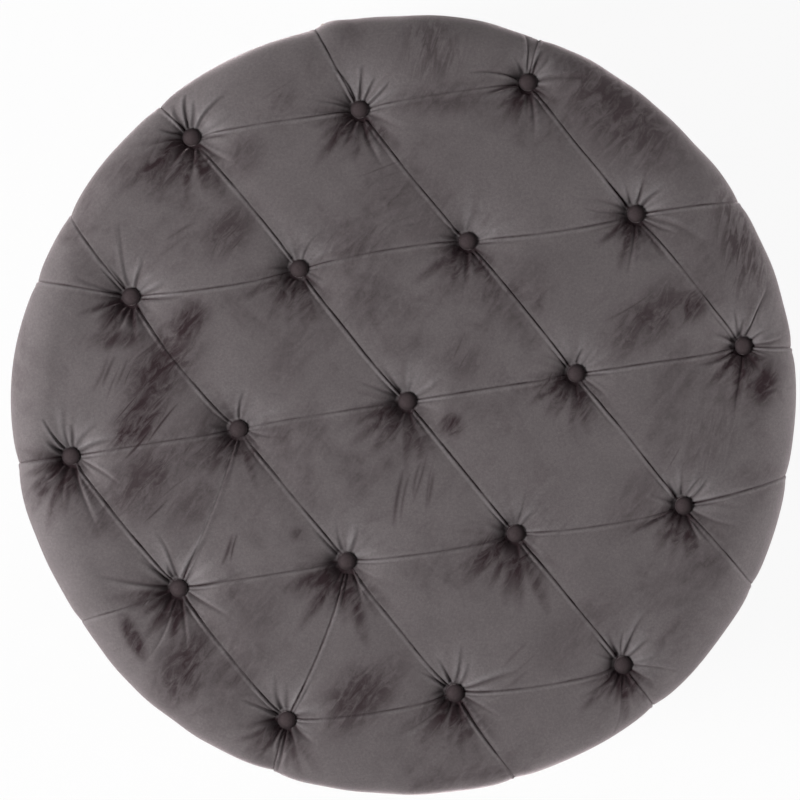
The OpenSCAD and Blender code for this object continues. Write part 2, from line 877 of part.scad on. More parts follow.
// Angle plate under the lid, with an ear that carries the arm's rivet
module lid_plate(side) {
    ear_x = stay_x - arm_t / 2 - side_gap - arm_t;
    color("#c9c9c9")
        difference() {
            union() {
                side_plate(side, ear_x - lid_plate_w + arm_t, lid_plate_w)
                    translate([lid_pivot[0] - lid_plate_l / 2, lid_plate_z])
                        square([lid_plate_l, arm_t]);
                side_plate(side, ear_x, arm_t)
                    polygon([[lid_pivot[0] - lid_plate_l / 2, lid_panel_z],
                             [lid_pivot[0] - lid_plate_l / 2, lid_plate_z - 1],
                             lid_pivot - [arm_w / 2, 0], lid_pivot + [arm_w / 2, 0],
                             [lid_pivot[0] + lid_plate_l / 2, lid_plate_z - 1],
                             [lid_pivot[0] + lid_plate_l / 2, lid_panel_z]]);
                side_pin(side, lid_pivot, arm_w / 2, ear_x, arm_t);
            }
            side_pin(side, lid_pivot, rivet_r + bore_gap, ear_x - 1, arm_t + 2);
            plate_screw_holes(side);
        }
}

module stay_rivet(side) {
    ear_x = stay_x - arm_t / 2 - side_gap - arm_t;
    outer_x = stay_x + arm_t / 2 + side_gap / 2;
    color("#9a9a9a") {
        side_pin(side, lid_pivot, rivet_r, ear_x, outer_x - ear_x);
        side_pin(side, lid_pivot, rivet_head_r, ear_x - rivet_head_t, rivet_head_t);
        side_pin(side, lid_pivot, rivet_head_r, outer_x, rivet_head_t);
    }
}

// A round-headed screw through a bracket, with its head's seat at z = 0, pointing down
module pan_screw(l) {
    cylinder(r1 = screw_head_r, r2 = screw_head_r * 0.6, h = 1.6);
    translate([0, 0, -l])
        cylinder(r = screw_r, h = l);
}

module bracket_screws() {
    color("#9a9a9a")
        for (side = [-1, 1])
            at_flange(side)
                for (s = flange_screws)
                    translate([flange_d - arm_t, s, flange_z + flange_h * 0.6])
                        rotate([0, -90, 0])
                            pan_screw(plate_screw_l + arm_t);
}

module plate_screws() {
    color("#9a9a9a")
        for (side = [-1, 1])
            for (s = [-1, 1])
                translate([side * (stay_x - arm_t / 2 - side_gap - arm_t - lid_plate_w * 0.55),
                           lid_pivot[0] + s * lid_plate_screw_y, lid_plate_z])
                    mirror([0, 0, 1])
                        pan_screw(plate_screw_l - 1);
}

floor_board();
top_ring();
outer_board();
inner_board();
wall_foam();
drum_cover();
wall_lining();
floor_panel();
dust_cover();
glides();
foot_bolts();
tee_nuts();
ring_screws();
bracket_screws();
lid_board();
lid_foam();
lid_batting();
lid_cover();
lid_lining();
tuft_buttons();
button_shanks();
tufting_twines();
twine_washers();
lid_screws();
plate_screws();
for (i = [1:post_count])
    frame_post(i);
for (k = [0:foot_count - 1])
    foot(k);
for (s = SIDES) {
    ring_leaf(sign_of(s));
    lid_leaf(sign_of(s));
    hinge_pin(sign_of(s));
    stay_bracket(sign_of(s));
    stay_stud(sign_of(s));
    stay_arm(sign_of(s));
    lid_plate(sign_of(s));
    stay_rivet(sign_of(s));
}
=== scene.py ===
import json
import math

import bpy
import numpy as np
from bpy.props import FloatProperty, FloatVectorProperty, IntProperty, PointerProperty
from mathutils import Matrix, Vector
from mathutils.geometry import delaunay_2d_cdt


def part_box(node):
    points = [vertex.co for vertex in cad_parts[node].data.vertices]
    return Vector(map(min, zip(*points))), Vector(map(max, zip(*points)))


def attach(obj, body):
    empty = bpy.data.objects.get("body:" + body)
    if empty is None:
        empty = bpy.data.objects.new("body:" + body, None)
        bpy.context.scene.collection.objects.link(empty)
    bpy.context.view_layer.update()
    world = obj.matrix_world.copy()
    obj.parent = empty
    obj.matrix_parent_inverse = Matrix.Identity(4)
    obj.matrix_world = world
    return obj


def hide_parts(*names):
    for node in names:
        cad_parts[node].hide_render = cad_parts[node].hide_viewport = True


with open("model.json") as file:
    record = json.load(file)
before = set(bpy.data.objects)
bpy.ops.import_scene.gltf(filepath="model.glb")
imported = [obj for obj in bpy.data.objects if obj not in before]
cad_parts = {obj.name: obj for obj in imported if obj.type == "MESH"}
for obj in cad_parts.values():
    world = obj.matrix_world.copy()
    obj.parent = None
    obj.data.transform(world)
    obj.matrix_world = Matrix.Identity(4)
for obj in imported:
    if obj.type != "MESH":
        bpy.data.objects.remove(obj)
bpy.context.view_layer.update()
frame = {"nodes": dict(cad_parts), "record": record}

bl_info = {
    "name": "Tufted Storage Ottoman",
    "version": (1, 0, 0),
    "blender": (4, 5, 0),
    "location": "3D View > Sidebar > Ottoman",
    "description": "Upholsters and finishes a round storage ottoman with a deep-buttoned lid",
    "category": "Object",
}

# Where the hinge leaves lie in the velvet, in metres: how far each hinge is from the middle, the
# front edge of a leaf's recess, and half its width in the lid and in the drum
HINGE_X = 0.06
LEAF_FRONT = 0.3785
LID_LEAF_HALF = 0.03535
DRUM_LEAF_HALF = 0.0353
# Where the points along a leaf's sides begin and end, from front to back
RECESS_Y = (0.377, 0.4135)
# Air between two pieces that lie on each other
AIR = 0.0003
# Points round the raw edges of the lid's and the drum's velvet, and the radius at which the
# drum's inner raw edge is laid flat
LID_RIM = 720
DRUM_RIM = 540
DRUM_START = 0.3

# What the tables below are measured in, and what the names of all finishes begin with
MM = 0.001
FINISH = "finish_"
# The camera's place over the lid, the width of its sensor in millimetres, the height of the lid's
# widest line, and where the lights are aimed
CAMERA_XY = (-0.0078, 0.0014)
SENSOR = 36.0
WIDEST_Z = 0.38
AIM = Vector((0, 0, 0.35))

# Pleats of the lid's velvet between two buttons, which are named by their steps along the
# rows and along the pleats that run down to the right. Diagonals are drawn in more than rows.
STEPS = [(q, s) for q in range(-2, 3) for s in range(-2, 3) if abs(q + s) <= 2]
ROW_PLEATS = [((q, s), (q + 1, s)) for q, s in STEPS if (q + 1, s) in STEPS]
DIAGONAL_PLEATS = [((q, s), (q, s + 1)) for q, s in STEPS if (q, s + 1) in STEPS]
CROSS_PLEATS = [((-1, 1), (-2, 2), 0.9), ((-1, 0), (-2, 1), 0.3)]
# Pleats from a button out to the edge: the button, the heading on the lid and where round
# the edge the pleat goes over, both in degrees, and its strength
EDGE_PLEATS = [
    ((0, -2), 131, 130, 1.0), ((1, -2), 121, 104, 1.0), ((2, -2), 78, 70, 0.8),
    ((-1, -1), 128, 151, 1.0), ((-1, -1), 169, 162, 1.0), ((-2, 0), 185, 189, 1.0),
    ((-2, 1), 201, 214, 0.8), ((-2, 2), 253, 250, 1.0), ((-1, 2), 304, 286, 1.0),
    ((0, 2), 307, 309, 1.0), ((1, 1), 310, 332, 1.0), ((1, 1), 15, 349, 1.0),
    ((2, 0), 356, 8, 1.0), ((2, -1), 6, 31, 1.0)]
# Where the pile has been laid against its lie: x, y, half length and half width in
# millimetres, heading in degrees and strength
BRUSHED = [
    (-268, 35, 62, 34, 62, 0.55), (-292, -20, 45, 20, 50, 0.75), (-285, -85, 60, 34, 45, 0.45),
    (-240, 85, 30, 20, 50, 0.60), (-315, 68, 38, 12, 5, 0.50), (-195, 185, 38, 24, 42, 0.40),
    (-262, 258, 38, 28, 30, 0.50), (-178, 268, 26, 20, 60, 0.30), (-300, -258, 26, 9, 118, 0.75),
    (-242, -290, 54, 30, 60, 0.52), (-230, -110, 44, 26, 50, 0.30), (48, -26, 14, 13, 60, 0.60),
    (-52, -322, 60, 30, 40, 0.50), (265, 92, 66, 28, 35, 0.45), (308, 104, 26, 18, 30, 0.55),
    (232, 325, 100, 52, 135, 0.46), (368, 175, 72, 32, 102, 0.52), (392, 18, 26, 16, 60, 0.60),
    (28, 388, 44, 34, 92, 0.35), (62, 45, 26, 26, 64, 0.25), (15, 205, 60, 50, 20, 0.20),
    (-118, -145, 10, 9, 0, 0.35), (330, -30, 60, 34, 70, 0.25), (250, -110, 46, 24, 60, 0.25),
    (120, -150, 60, 30, 50, 0.20), (-120, 60, 70, 26, 60, 0.20), (40, 330, 60, 20, 5, 0.30),
    (130, 130, 50, 30, 40, 0.15), (190, -250, 60, 30, 40, 0.20), (-160, -230, 46, 26, 60, 0.20)]
# Single strokes in the pile, in sets: x, y, heading, length, how many, how far apart, strength
STROKES = [
    (-12, 225, 17, 60, 8, 10, 0.30), (-252, 180, 36, 64, 2, 12, 0.30),
    (-195, 185, 44, 46, 5, 7, 0.50), (-33, 180, 46, 32, 3, 7, 0.35),
    (-322, 20, 68, 52, 5, 7, 0.45), (-292, -22, 50, 62, 7, 7, 0.70),
    (-280, -88, 44, 66, 7, 9, 0.45), (-240, -112, 56, 44, 4, 9, 0.35),
    (-195, -168, 72, 34, 2, 9, 0.60), (-242, -290, 66, 46, 5, 9, 0.60),
    (10, -92, 77, 58, 6, 7, 0.45), (-52, -322, 42, 60, 5, 9, 0.40), (64, 45, 64, 38, 3, 11, 0.35),
    (262, 100, 34, 78, 4, 10, 0.40), (-180, -60, 50, 40, 3, 12, 0.30),
    (300, -60, 60, 34, 4, 10, 0.30), (-90, 90, 48, 60, 3, 16, 0.18),
    (150, -130, 55, 44, 4, 12, 0.22), (120, -290, 45, 50, 3, 12, 0.25),
    (-130, 330, 30, 50, 3, 12, 0.20), (380, 160, 98, 50, 4, 9, 0.30)]


# ---- Settings ----

class PadSettings(bpy.types.PropertyGroup):
    """Sizes of the buttoned lid"""
    crown_rise: FloatProperty(name="Crown rise", description="Rise of the crown above the shoulder",
                              default=0.022, min=0.005, max=0.05, unit="LENGTH")
    shoulder_r: FloatProperty(name="Shoulder radius", description="Radius of the lid's shoulder",
                              default=0.048, min=0.02, max=0.08, unit="LENGTH")
    edge_r: FloatProperty(name="Edge radius", description="Radius of the lid's lower edge",
                          default=0.008, min=0.002, max=0.02, unit="LENGTH")
    inset: FloatProperty(name="Drum inset", description="How far the drum stands in from the lid",
                         default=0.015, min=0.0, max=0.04, unit="LENGTH")
    wrap: FloatProperty(name="Turn under", description="How far the velvet turns in under the lid",
                        default=0.065, min=0.02, max=0.1, unit="LENGTH")
    cover_t: FloatProperty(name="Cover thickness",
                           description="Thickness of the velvet with its backing",
                           default=0.002, min=0.0005, max=0.004, unit="LENGTH")
    board_t: FloatProperty(name="Board thickness", description="Thickness of the lid's board",
                           default=0.012, min=0.006, max=0.02, unit="LENGTH")
    board_r: FloatProperty(name="Board radius", description="Radius of the lid's board",
                           default=0.400, min=0.2, max=0.5, unit="LENGTH")
    hollow: FloatProperty(name="Hollow depth",
                          description="How deep a button is drawn below the crown",
                          default=0.024, min=0.01, max=0.04, unit="LENGTH")
    hollow_reach: FloatProperty(name="Hollow reach",
                                description="How far a hollow spreads from its button",
                                default=0.012, min=0.004, max=0.03, unit="LENGTH")
    pillow: FloatProperty(name="Pillow height",
                          description="Height of the padding between the buttons",
                          default=0.005, min=0.0, max=0.015, unit="LENGTH")
    wrinkles: IntProperty(name="Wrinkles", description="Small wrinkles round each button",
                          default=8, min=0, max=24)
    seed: IntProperty(name="Seed", description="Seed of the wrinkles", default=7, min=0, max=999)


class DrumSettings(bpy.types.PropertyGroup):
    """Sizes of the drum's upholstery"""
    rim_r: FloatProperty(name="Rim radius", description="Radius of the drum's upper edge",
                         default=0.008, min=0.002, max=0.02, unit="LENGTH")
    foot_r: FloatProperty(name="Lower edge radius", description="Radius of the drum's lower edge",
                          default=0.006, min=0.002, max=0.02, unit="LENGTH")
    inner_wrap: FloatProperty(name="Turn inside",
                              description="How far the velvet turns down inside the rim",
                              default=0.028, min=0.01, max=0.06, unit="LENGTH")
    under_wrap: FloatProperty(name="Turn under",
                              description="How far the velvet turns in under the drum",
                              default=0.095, min=0.03, max=0.15, unit="LENGTH")
    seam: FloatProperty(name="Seam depth", description="Depth of the seam at the back of the drum",
                        default=0.0012, min=0.0, max=0.004, unit="LENGTH")
    slack: FloatProperty(name="Slack", description="Height of the soft waves in the drum's velvet",
                         default=0.0011, min=0.0, max=0.004, unit="LENGTH")
    staples: IntProperty(name="Staples", description="Staples round the dust cloth",
                         default=112, min=8, max=400)
    staple_l: FloatProperty(name="Staple length", description="Length of a staple's crown",
                            default=0.010, min=0.004, max=0.02, unit="LENGTH")
    staple_t: FloatProperty(name="Staple wire", description="Width of a staple's wire",
                            default=0.0009, min=0.0004, max=0.002, unit="LENGTH")


class FinishSettings(bpy.types.PropertyGroup):
    """Colours of the finishes"""
    velvet: FloatVectorProperty(name="Velvet", description="Colour of the pile as it lies",
                                default=(0.132, 0.1145, 0.1175),
                                subtype="COLOR", size=3, min=0, max=1)
    # Also the colour of the painted shade in creases, gathers and round the buttons.
    velvet_deep: FloatVectorProperty(name="Velvet, against the lie",
                                     description="Colour of brushed pile and creases",
                                     default=(0.024, 0.0130, 0.0155),
                                     subtype="COLOR", size=3, min=0, max=1)
    lining: FloatVectorProperty(name="Lining", description="Colour of the lining",
                                default=(0.030, 0.030, 0.034),
                                subtype="COLOR", size=3, min=0, max=1)
    wood: FloatVectorProperty(name="Foot wood", description="Colour of the stained feet",
                              default=(0.060, 0.030, 0.018), subtype="COLOR", size=3, min=0, max=1)
    wood_deep: FloatVectorProperty(name="Foot grain", description="Colour of the grain in the feet",
                                   default=(0.018, 0.009, 0.006),
                                   subtype="COLOR", size=3, min=0, max=1)
    ply: FloatVectorProperty(name="Plywood", description="Colour of the boards",
                             default=(0.56, 0.39, 0.23), subtype="COLOR", size=3, min=0, max=1)
    brass: FloatVectorProperty(name="Hinge plating", description="Colour of the hinges",
                               default=(0.42, 0.33, 0.19), subtype="COLOR", size=3, min=0, max=1)


class StageSettings(bpy.types.PropertyGroup):
    """Sizes of the stage"""
    distance: FloatProperty(name="Camera height",
                            description="Height of the camera above the lid's widest line",
                            default=4.2, min=1.0, max=20.0, unit="LENGTH")
    span: FloatProperty(name="Span",
                        description="Width that the camera shows at the lid's widest line",
                        default=0.882, min=0.2, max=4.0, unit="LENGTH")
    key: FloatProperty(name="Key light", description="Power of the large light at the front left",
                       default=295.0, min=0.0, max=1000.0)
    fill: FloatProperty(name="Fill light", description="Power of the large light overhead",
                        default=10.0, min=0.0, max=1000.0)
    side: FloatProperty(name="Side light", description="Power of the low light at the right",
                        default=115.0, min=0.0, max=1000.0)
    left: FloatProperty(name="Left light", description="Power of the low light at the left",
                        default=88.0, min=0.0, max=1000.0)
    sides: FloatProperty(name="Walls",
                         description="Strength of the light from low down on all sides",
                         default=1.0, min=0.0, max=8.0)
    sky: FloatProperty(name="Surroundings", description="Strength of the even light from all sides",
                       default=0.05, min=0.0, max=4.0)


# ---- Node helpers ----

def add(tree, kind, ins=(), **props):
    """A new node of that kind, with its properties set and its inputs set or joined."""
    made = tree.nodes.new(kind)
    for name, value in props.items():
        setattr(made, name, value)
    for name, value in dict(ins).items():
        if isinstance(value, bpy.types.NodeSocket):
            tree.links.new(value, made.inputs[name])
        else:
            made.inputs[name].default_value = value
    return made


def maths(tree, operation, a, b=0.0, clamp=False):
    return add(tree, "ShaderNodeMath", {0: a, 1: b}, operation=operation,
               use_clamp=clamp).outputs[0]


def mixed(tree, factor, a, b, blend="MIX"):
    """Colour a changed by colour b, by a factor. Sockets 0, 6 and 7 are the ones for colours."""
    return add(tree, "ShaderNodeMix", {0: factor, 6: a, 7: b}, data_type="RGBA",
               blend_type=blend).outputs[2]


def spread(tree, value, low, high, to_low=0.0, to_high=1.0):
    """A value stretched from low..high to to_low..to_high and held there."""
    return add(tree, "ShaderNodeMapRange", {
        "Value": value, "From Min": low, "From Max": high,
        "To Min": to_low, "To Max": to_high}).outputs[0]


def noise(tree, vector, scale, detail=2.0, roughness=0.5, distortion=0.0):
    return add(tree, "ShaderNodeTexNoise", {
        "Vector": vector, "Scale": scale, "Detail": detail, "Roughness": roughness,
        "Distortion": distortion}).outputs["Fac"]


def grey(tree, level):
    return add(tree, "ShaderNodeCombineColor", {0: level, 1: level, 2: level}).outputs[0]


def object_place(tree):
    return add(tree, "ShaderNodeTexCoord").outputs["Object"]


def part_of(tree, vector, axis):
    return add(tree, "ShaderNodeSeparateXYZ", {0: vector}).outputs[axis]


def facing_up(tree):
    """How much the surface faces up, from -1 to 1."""
    return part_of(tree, add(tree, "ShaderNodeNewGeometry").outputs["Normal"], 2)


def stretched(tree, vector, scale, heading=0.0):
    """A vector for a pattern drawn out along a heading in the plane, in radians."""
    turned = add(tree, "ShaderNodeMapping", {"Vector": vector,
                                             "Rotation": (0, 0, -heading)}).outputs[0]
    return add(tree, "ShaderNodeMapping", {"Vector": turned, "Scale": scale}).outputs[0]


def group(name, inputs, outputs):
    """A new shader node group with named sockets, with its inputs' sockets and its output node."""
    tree = bpy.data.node_groups.new(name, "ShaderNodeTree")
    for label, default in inputs:
        kind = "NodeSocketVector" if label == "Vector" else \
            "NodeSocketColor" if hasattr(default, "__len__") else "NodeSocketFloat"
        socket = tree.interface.new_socket(name=label, in_out="INPUT", socket_type=kind)
        if kind != "NodeSocketVector":
            socket.default_value = default
    for label in outputs:
        kind = "NodeSocketColor" if label == "Color" else "NodeSocketFloat"
        tree.interface.new_socket(name=label, in_out="OUTPUT", socket_type=kind)
    return tree, tree.nodes.new("NodeGroupInput").outputs, tree.nodes.new("NodeGroupOutput")


def give(tree, output, **values):
    for name, socket in values.items():
        tree.links.new(socket, output.inputs[name])


def placed(tree, effect_tree, **values):
    """The outputs of an effect in a material. The names of its inputs have _ for a space."""
    ins = {name.replace("_", " "): value for name, value in values.items()}
    return add(tree, "ShaderNodeGroup", ins, node_tree=effect_tree).outputs


def shader_material(name, **values):
    """A new material, its tree and its Principled BSDF, with the shader's own inputs set."""
    made = bpy.data.materials.new(FINISH + name)
    made.use_nodes = True
    shader = made.node_tree.nodes["Principled BSDF"]
    for label, value in values.items():
        shader.inputs[label.replace("_", " ")].default_value = value
    return made, made.node_tree, shader


def colour_and_bump(tree, shader, colour, strength, depth, height):
    tree.links.new(colour, shader.inputs["Base Color"])
    bump = add(tree, "ShaderNodeBump", {"Strength": strength, "Distance": depth, "Height": height})
    tree.links.new(bump.outputs[0], shader.inputs["Normal"])


def rgba(colour, share=1.0):
    return (*(c * share for c in colour), 1.0)


# ---- Finishes ----

def pile_group():
    """Short pile: laid patches and strokes, painted shade in creases and round the buttons, painted
    highlights, and the grain of the fibres.
    """
    tree, ins, out = group("Pile", [
        ("Lie", (0.1, 0.1, 0.1, 1)), ("Deep", (0, 0, 0, 1)), ("Fold", 0.0), ("Brushed", 0.0),
        ("Combed", 0.0), ("Raised", 0.0), ("Patches", 0.3)], ["Color", "Height"])
    at = object_place(tree)
    broad = noise(tree, at, 7.0, 5.0, 0.62, 0.6)
    upright = stretched(tree, at, (30.0, 170.0, 60.0), math.radians(76))
    upright = noise(tree, upright, 1.0, 3.0, 0.6, 0.6)
    blot = stretched(tree, at, (34.0, 98.0, 60.0), math.radians(52))
    blot = noise(tree, blot, 1.0, 6.0, 0.64, 0.8)
    patches = maths(tree, "MULTIPLY", spread(tree, broad, 0.48, 0.68),
                    spread(tree, blot, 0.36, 0.62, 0.35, 1.0))
    patches = maths(tree, "MULTIPLY", patches, ins["Patches"])
    # The laid patches, which also carry painted shade below the buttons, broken up by the blotchy
    # noise.
    brushed = maths(tree, "MULTIPLY", ins["Brushed"], spread(tree, blot, 0.38, 0.58, 0.42, 1.0))
    combed = maths(tree, "MULTIPLY", ins["Combed"], spread(tree, upright, 0.40, 0.60, 0.10, 1.0))
    dark = maths(tree, "MAXIMUM", maths(tree, "MAXIMUM", patches, brushed), combed)
    # Painted shade in creases, gathers and round the buttons, with the pile's own strokes, darkens it.
    dark = maths(tree, "MAXIMUM", dark, ins["Fold"], clamp=True)
    fibres = noise(tree, at, 1150.0, 2.0, 0.7)
    cloud = noise(tree, at, 30.0, 4.0, 0.6)
    level = maths(tree, "MULTIPLY", spread(tree, fibres, 0.25, 0.75, 0.84, 1.16),
                  spread(tree, cloud, 0.3, 0.7, 0.93, 1.06))
    mottle = noise(tree, at, 330.0, 2.0, 0.6)
    level = maths(tree, "MULTIPLY", level, spread(tree, mottle, 0.25, 0.75, 0.88, 1.12))
    # Painted highlight: the lie's colour made lighter where the highlight mark is set.
    light = mixed(tree, 1.0, ins["Lie"], (1.60, 1.68, 1.68, 1), "MULTIPLY")
    lie = mixed(tree, ins["Raised"], ins["Lie"], light)
    pile = mixed(tree, dark, lie, ins["Deep"])
    give(tree, out, Color=mixed(tree, 1.0, pile, grey(tree, level), "MULTIPLY"),
         Height=maths(tree, "ADD", fibres, maths(tree, "MULTIPLY", cloud, 0.7)))
    return tree


def weave_group():
    """Plain weave: two sets of threads at right angles, with uneven threads."""
    tree, ins, out = group("Weave", [
        ("Vector", 0), ("Thread", (0.1, 0.1, 0.1, 1)), ("Gap", (0, 0, 0, 1)),
        ("Threads per metre", 1400.0)], ["Color", "Height"])
    uneven = noise(tree, ins["Vector"], 9.0, 3.0)
    half_turns = maths(tree, "MULTIPLY", ins["Threads per metre"], math.pi)
    waves = []
    for axis in (0, 1):
        turn = maths(tree, "MULTIPLY", part_of(tree, ins["Vector"], axis), half_turns)
        turn = maths(tree, "ADD", turn, maths(tree, "MULTIPLY", uneven, 5.0))
        waves.append(maths(tree, "ABSOLUTE", maths(tree, "SINE", turn)))
    slub = noise(tree, stretched(tree, ins["Vector"], (30.0, 400.0, 30.0)), 1.0, 2.0)
    level = maths(tree, "MULTIPLY", maths(tree, "MULTIPLY", *waves),
                  spread(tree, slub, 0.3, 0.7, 0.75, 1.15), clamp=True)
    give(tree, out, Color=mixed(tree, level, ins["Gap"], ins["Thread"]), Height=level)
    return tree


def grain_group():
    """Wood grain along Z of its vector: rings, fibres and pores."""
    tree, ins, out = group("Grain", [
        ("Vector", 0), ("Early", (0.4, 0.3, 0.2, 1)), ("Late", (0.2, 0.1, 0.05, 1)),
        ("Scale", 1.0)], ["Color", "Height"])
    at = add(tree, "ShaderNodeVectorMath", {0: ins["Vector"], "Scale": ins["Scale"]},
             operation="SCALE").outputs[0]
    bend = noise(tree, stretched(tree, at, (9.0, 9.0, 1.4)), 1.0, 3.0)
    rings = maths(tree, "SINE", maths(tree, "MULTIPLY", bend, 70.0))
    fibres = noise(tree, stretched(tree, at, (420.0, 420.0, 16.0)), 1.0, 3.0, 0.65)
    pores = noise(tree, stretched(tree, at, (900.0, 900.0, 30.0)), 1.0, 1.0)
    pores = spread(tree, pores, 0.60, 0.70)
    late = maths(tree, "ADD", spread(tree, rings, -0.4, 1.0, 0.0, 0.55),
                 maths(tree, "MULTIPLY", fibres, 0.6))
    late = maths(tree, "ADD", late, maths(tree, "MULTIPLY", pores, 0.35), clamp=True)
    give(tree, out, Color=mixed(tree, late, ins["Early"], ins["Late"]),
         Height=maths(tree, "SUBTRACT", fibres, pores))
    return tree


def rub_group():
    """Rubbed metal: fine scratches, dull patches and a little tarnish."""
    tree, ins, out = group("Rub", [
        ("Bright", (0.5, 0.5, 0.5, 1)), ("Dull", (0.3, 0.3, 0.3, 1)), ("Smooth", 0.25),
        ("Rough", 0.45)], ["Color", "Roughness", "Height"])
    at = object_place(tree)
    scratches = noise(tree, stretched(tree, at, (3000.0, 160.0, 900.0), 0.3), 1.0, 2.0, 0.7)
    patches = noise(tree, at, 60.0, 4.0, 0.6)
    worn = maths(tree, "MULTIPLY", spread(tree, patches, 0.38, 0.68), 0.8)
    dulled = maths(tree, "MULTIPLY", worn, maths(tree, "SUBTRACT", ins["Rough"], ins["Smooth"]))
    rough = maths(tree, "ADD", maths(tree, "MULTIPLY", scratches, 0.12),
                  maths(tree, "ADD", ins["Smooth"], dulled))
    give(tree, out, Color=mixed(tree, worn, ins["Bright"], ins["Dull"]), Roughness=rough,
         Height=scratches)
    return tree


def velvet_material(name, sheen):
    return shader_material(name, Roughness=0.85, Specular_IOR_Level=0.2, Sheen_Weight=sheen,
                           Sheen_Roughness=0.30, Sheen_Tint=(0.82, 0.70, 0.72, 1))


def velvet(effects, finish, name, patches):
    """Velvet whose painted shade, painted highlights and laid pile marks are attributes of the mesh.
    """
    made, tree, shader = velvet_material(name, 1.0)
    marks = {label: add(tree, "ShaderNodeAttribute", attribute_name=label.lower()).outputs["Fac"]
             for label in ("Fold", "Brushed", "Combed", "Raised")}
    pile = placed(tree, effects["pile"], Lie=rgba(finish.velvet), Deep=rgba(finish.velvet_deep),
                  Patches=patches, **marks)
    colour_and_bump(tree, shader, pile["Color"], 0.35, 0.0007, pile["Height"])
    return made


def button_velvet(effects, finish):
    """The same velvet drawn tight over the buttons, with painted shade that darkens it towards their
    edge, where the dome turns away from straight up.
    """
    made, tree, shader = velvet_material("button_velvet", 0.6)
    # Painted shade: darker where the surface faces less straight up.
    pile = placed(tree, effects["pile"], Lie=(0.062, 0.046, 0.049, 1.0),
                  Deep=rgba(finish.velvet_deep, 0.40), Patches=0.2,
                  Fold=spread(tree, facing_up(tree), 0.88, 0.45))
    colour_and_bump(tree, shader, pile["Color"], 0.35, 0.0005, pile["Height"])
    return made


def woven(effects, name, colour, count, by_uv=False):
    """Plain woven cloth, with its threads along the piece's UV map or along X and Y."""
    made, tree, shader = shader_material(name, Roughness=0.82, Sheen_Weight=0.1)
    at = add(tree, "ShaderNodeUVMap", uv_map="cloth").outputs[0] if by_uv else object_place(tree)
    weave = placed(tree, effects["weave"], Vector=at, Thread=rgba(colour, 1.5),
                   Gap=rgba(colour, 0.4), Threads_per_metre=count)
    colour_and_bump(tree, shader, weave["Color"], 0.5, 0.0004, weave["Height"])
    return made


def timber(effects, name, early, late, scale, rough, coat=0.0):
    made, tree, shader = shader_material(name, Roughness=rough)
    if coat:
        shader.inputs["Coat Weight"].default_value = coat
        shader.inputs["Coat Roughness"].default_value = 0.22
    grain = placed(tree, effects["grain"], Vector=object_place(tree), Early=rgba(early),
                   Late=rgba(late), Scale=scale)
    colour_and_bump(tree, shader, grain["Color"], 0.25, 0.0004, grain["Height"])
    return made


def plywood(effects, finish):
    """Veneer on the faces, and the plies' edges where the board is cut."""
    made, tree, shader = shader_material("plywood", Roughness=0.62)
    at = object_place(tree)
    turned = add(tree, "ShaderNodeMapping", {"Vector": at,
                                             "Rotation": (math.radians(90), 0, 0)}).outputs[0]
    face = placed(tree, effects["grain"], Vector=turned, Early=rgba(finish.ply),
                  Late=(0.38, 0.24, 0.13, 1), Scale=1.0)
    edge = placed(tree, effects["grain"], Vector=at, Early=(0.46, 0.31, 0.18, 1),
                  Late=(0.24, 0.14, 0.075, 1), Scale=0.6)
    two_plies = 0.003
    turn = maths(tree, "MULTIPLY", part_of(tree, at, 2), 2 * math.pi / two_plies)
    ply = maths(tree, "GREATER_THAN", maths(tree, "SINE", turn), 0.0)
    cut = mixed(tree, ply, edge["Color"], face["Color"])
    flat = maths(tree, "GREATER_THAN", maths(tree, "ABSOLUTE", facing_up(tree)), 0.7)
    colour = mixed(tree, flat, cut, face["Color"])
    colour_and_bump(tree, shader, colour, 0.3, 0.0004, face["Height"])
    return made


def metal(effects, name, bright, dull, smooth, rough):
    made, tree, shader = shader_material(name, Metallic=1.0)
    rub = placed(tree, effects["rub"], Bright=bright, Dull=dull, Smooth=smooth, Rough=rough)
    tree.links.new(rub["Roughness"], shader.inputs["Roughness"])
    colour_and_bump(tree, shader, rub["Color"], 0.12, 0.0002, rub["Height"])
    return made


def cellular(name, light, dark, scale, depth, rough=0.9, sheen=0.0, speckle=0.5):
    """Foam, batting, felt and moulded nylon: cells or fibres with an uneven tone."""
    made, tree, shader = shader_material(name, Roughness=rough, Sheen_Weight=sheen)
    at = object_place(tree)
    cells = add(tree, "ShaderNodeTexVoronoi", {"Vector": at, "Scale": scale,
                                               "Randomness": 1.0}).outputs["Distance"]
    tone = noise(tree, at, scale * 0.06, 4.0, 0.6)
    level = maths(tree, "ADD", maths(tree, "MULTIPLY", cells, speckle),
                  spread(tree, tone, 0.3, 0.7, 0.0, 0.5), clamp=True)
    colour_and_bump(tree, shader, mixed(tree, level, rgba(dark), rgba(light)), 0.5, depth, cells)
    return made


def twisted(name, light, dark):
    """Waxed twine: strands laid slantwise round the cord."""
    made, tree, shader = shader_material(name, Roughness=0.55)
    at = object_place(tree)
    parts = add(tree, "ShaderNodeSeparateXYZ", {0: at}).outputs
    slant = maths(tree, "ADD", parts[2], maths(tree, "ADD", parts[0], parts[1]))
    strand = maths(tree, "ABSOLUTE", maths(tree, "SINE", maths(tree, "MULTIPLY", slant, 2600.0)))
    fuzz = noise(tree, at, 2500.0, 2.0)
    level = maths(tree, "MULTIPLY", strand, spread(tree, fuzz, 0.3, 0.7, 0.8, 1.1), clamp=True)
    colour_and_bump(tree, shader, mixed(tree, level, rgba(dark), rgba(light)), 0.5, 0.0003, strand)
    return made


